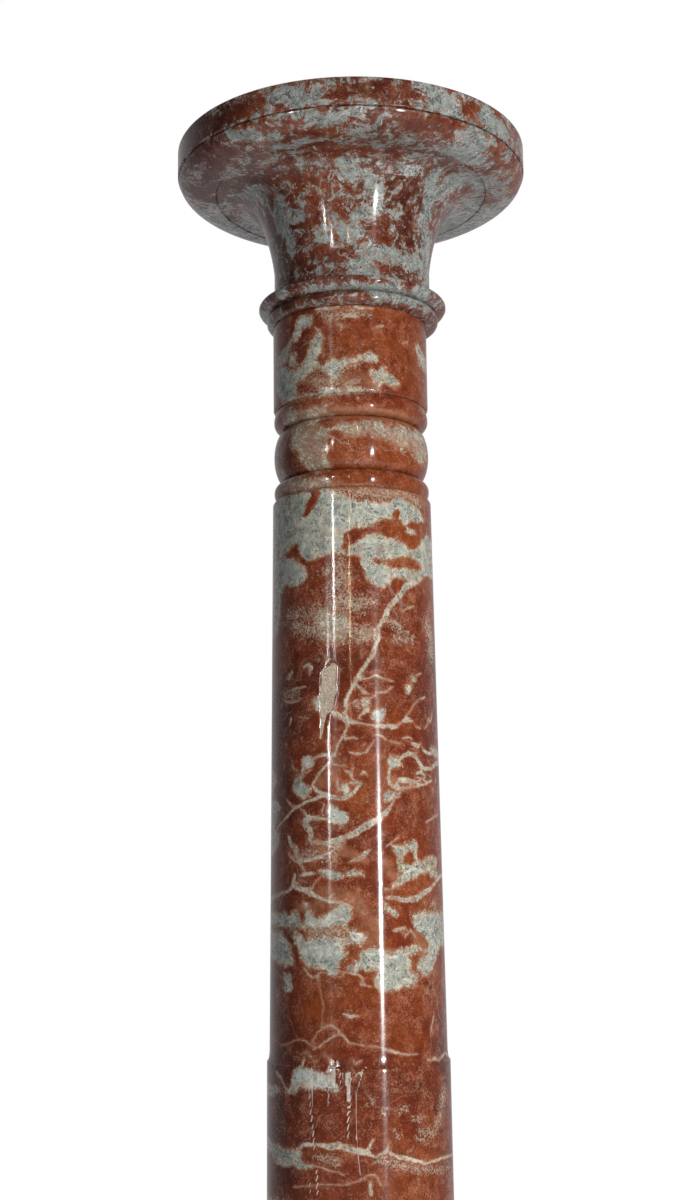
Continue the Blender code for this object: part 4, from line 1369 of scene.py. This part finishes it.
def add_camera():
    yaw, pitch, roll = (math.radians(a) for a in (CAMERA_YAW, CAMERA_PITCH, CAMERA_ROLL))
    ahead = Vector((math.sin(yaw) * math.cos(pitch), math.cos(yaw) * math.cos(pitch), math.sin(pitch)))
    level = Vector((math.cos(yaw), -math.sin(yaw), 0))
    upward = level.cross(ahead)
    right = level * math.cos(roll) + upward * math.sin(roll)
    top = upward * math.cos(roll) - level * math.sin(roll)
    turn_matrix = Matrix((right, top, -ahead)).transposed().to_4x4()
    bpy.ops.object.camera_add()
    camera = bpy.context.object
    camera.matrix_world = Matrix.Translation(CAMERA_PLACE) @ turn_matrix
    camera.data.sensor_width = SENSOR_MM
    camera.data.lens = SENSOR_MM * FOCAL_PIXELS / PHOTO_HEIGHT_PIXELS
    camera.data.clip_end = 50
    bpy.context.scene.camera = camera


def add_light(light, power, soft):
    """Hang a round area light.

    A soft light gives no highlight, and any other lamp gives nothing else.
    """
    name, azimuth, distance, height, width, share, colour, aim = light
    round_axis = math.radians(azimuth)
    place = Vector((distance * math.sin(round_axis), -distance * math.cos(round_axis), height))
    bpy.ops.object.light_add(type="AREA", location=place)
    lamp = bpy.context.object
    lamp.name = name
    lamp.rotation_euler = (Vector((0, 0, aim)) - place).to_track_quat("-Z", "Y").to_euler()
    lamp.data.shape = "DISK"
    lamp.data.size = width
    lamp.data.energy = power * share
    lamp.data.color = colour
    lamp.visible_camera = False
    lamp.visible_glossy = not soft
    lamp.visible_diffuse = soft


def add_floor(studio):
    bpy.ops.mesh.primitive_circle_add(
        vertices=128, radius=studio.floor_radius, fill_type="NGON", location=(0, 0, 0))
    floor = bpy.context.object
    floor.name = "floor"
    paint = bpy.data.materials.new("pale_floor")
    paint.use_nodes = True
    shader = paint.node_tree.nodes["Principled BSDF"]
    shader.inputs["Base Color"].default_value = (*studio.floor, 1)
    shader.inputs["Roughness"].default_value = 0.8
    floor.data.materials.append(paint)


def set_backdrop(studio):
    """White behind the column for the camera, and a dim room, brighter behind, for the stone."""
    world = bpy.data.worlds.new("studio")
    bpy.context.scene.world = world
    world.use_nodes = True
    tree = world.node_tree
    tree.nodes.clear()
    seen = tree.nodes.new("ShaderNodeBackground")
    seen.inputs["Color"].default_value = (*studio.backdrop, 1)
    room = tree.nodes.new("ShaderNodeBackground")
    room.inputs["Color"].default_value = (*studio.room, 1)
    towards = tree.nodes.new("ShaderNodeTexCoord")
    parts = tree.nodes.new("ShaderNodeSeparateXYZ")
    behind = tree.nodes.new("ShaderNodeMapRange")
    behind.inputs["From Min"].default_value = 0.1
    behind.inputs["From Max"].default_value = 0.8
    behind.inputs["To Min"].default_value = studio.surround
    behind.inputs["To Max"].default_value = studio.surround_behind
    path = tree.nodes.new("ShaderNodeLightPath")
    mix = tree.nodes.new("ShaderNodeMixShader")
    out = tree.nodes.new("ShaderNodeOutputWorld")
    tree.links.new(towards.outputs["Generated"], parts.inputs[0])
    tree.links.new(parts.outputs["Y"], behind.inputs["Value"])
    tree.links.new(behind.outputs[0], room.inputs["Strength"])
    tree.links.new(path.outputs["Is Camera Ray"], mix.inputs[0])
    tree.links.new(room.outputs[0], mix.inputs[1])
    tree.links.new(seen.outputs[0], mix.inputs[2])
    tree.links.new(mix.outputs[0], out.inputs["Surface"])


class COLUMN_OT_stage(bpy.types.Operator):
    """Lay the pale floor, hang the soft lights and place the camera"""

    bl_idname = "column.stage"
    bl_label = "Stage"

    def execute(self, context):
        studio = context.scene.studio_settings
        deselect_all()
        add_floor(studio)
        set_backdrop(studio)
        for light in SOFT_LIGHTS:
            add_light(light, studio.soft_power, soft=True)
        for lamp in LAMPS:
            add_light(lamp, studio.lamp_power, soft=False)
        context.scene.view_settings.view_transform = "Standard"
        add_camera()
        return {"FINISHED"}


class COLUMN_PT_panel(bpy.types.Panel):
    """Lists the column's sizes, colours and pieces"""

    bl_idname = "COLUMN_PT_panel"
    bl_label = "Marble column"
    bl_space_type = "VIEW_3D"
    bl_region_type = "UI"
    bl_category = "Column"

    def draw(self, context):
        scene = context.scene
        for group in (scene.column_sizes, scene.marble_colours, scene.studio_settings):
            for name in group.__annotations__:
                self.layout.prop(group, name)
        for operator in OPERATORS:
            self.layout.operator(operator.bl_idname)


OPERATORS = (COLUMN_OT_capital, COLUMN_OT_shaft, COLUMN_OT_base, COLUMN_OT_plinth, COLUMN_OT_stage)
GROUPS = (ColumnSizes, MarbleColours, StudioSettings)


def register():
    for thing in (*GROUPS, *OPERATORS, COLUMN_PT_panel):
        bpy.utils.register_class(thing)
    bpy.types.Scene.column_sizes = bpy.props.PointerProperty(type=ColumnSizes)
    bpy.types.Scene.marble_colours = bpy.props.PointerProperty(type=MarbleColours)
    bpy.types.Scene.studio_settings = bpy.props.PointerProperty(type=StudioSettings)


def unregister():
    for name in ("column_sizes", "marble_colours", "studio_settings"):
        delattr(bpy.types.Scene, name)
    for thing in reversed((*GROUPS, *OPERATORS, COLUMN_PT_panel)):
        bpy.utils.unregister_class(thing)


def main():
    register()
    bpy.ops.column.capital()
    bpy.ops.column.shaft()
    bpy.ops.column.base()
    bpy.ops.column.plinth()
    bpy.ops.column.stage()


if __name__ == "__main__":
    main()
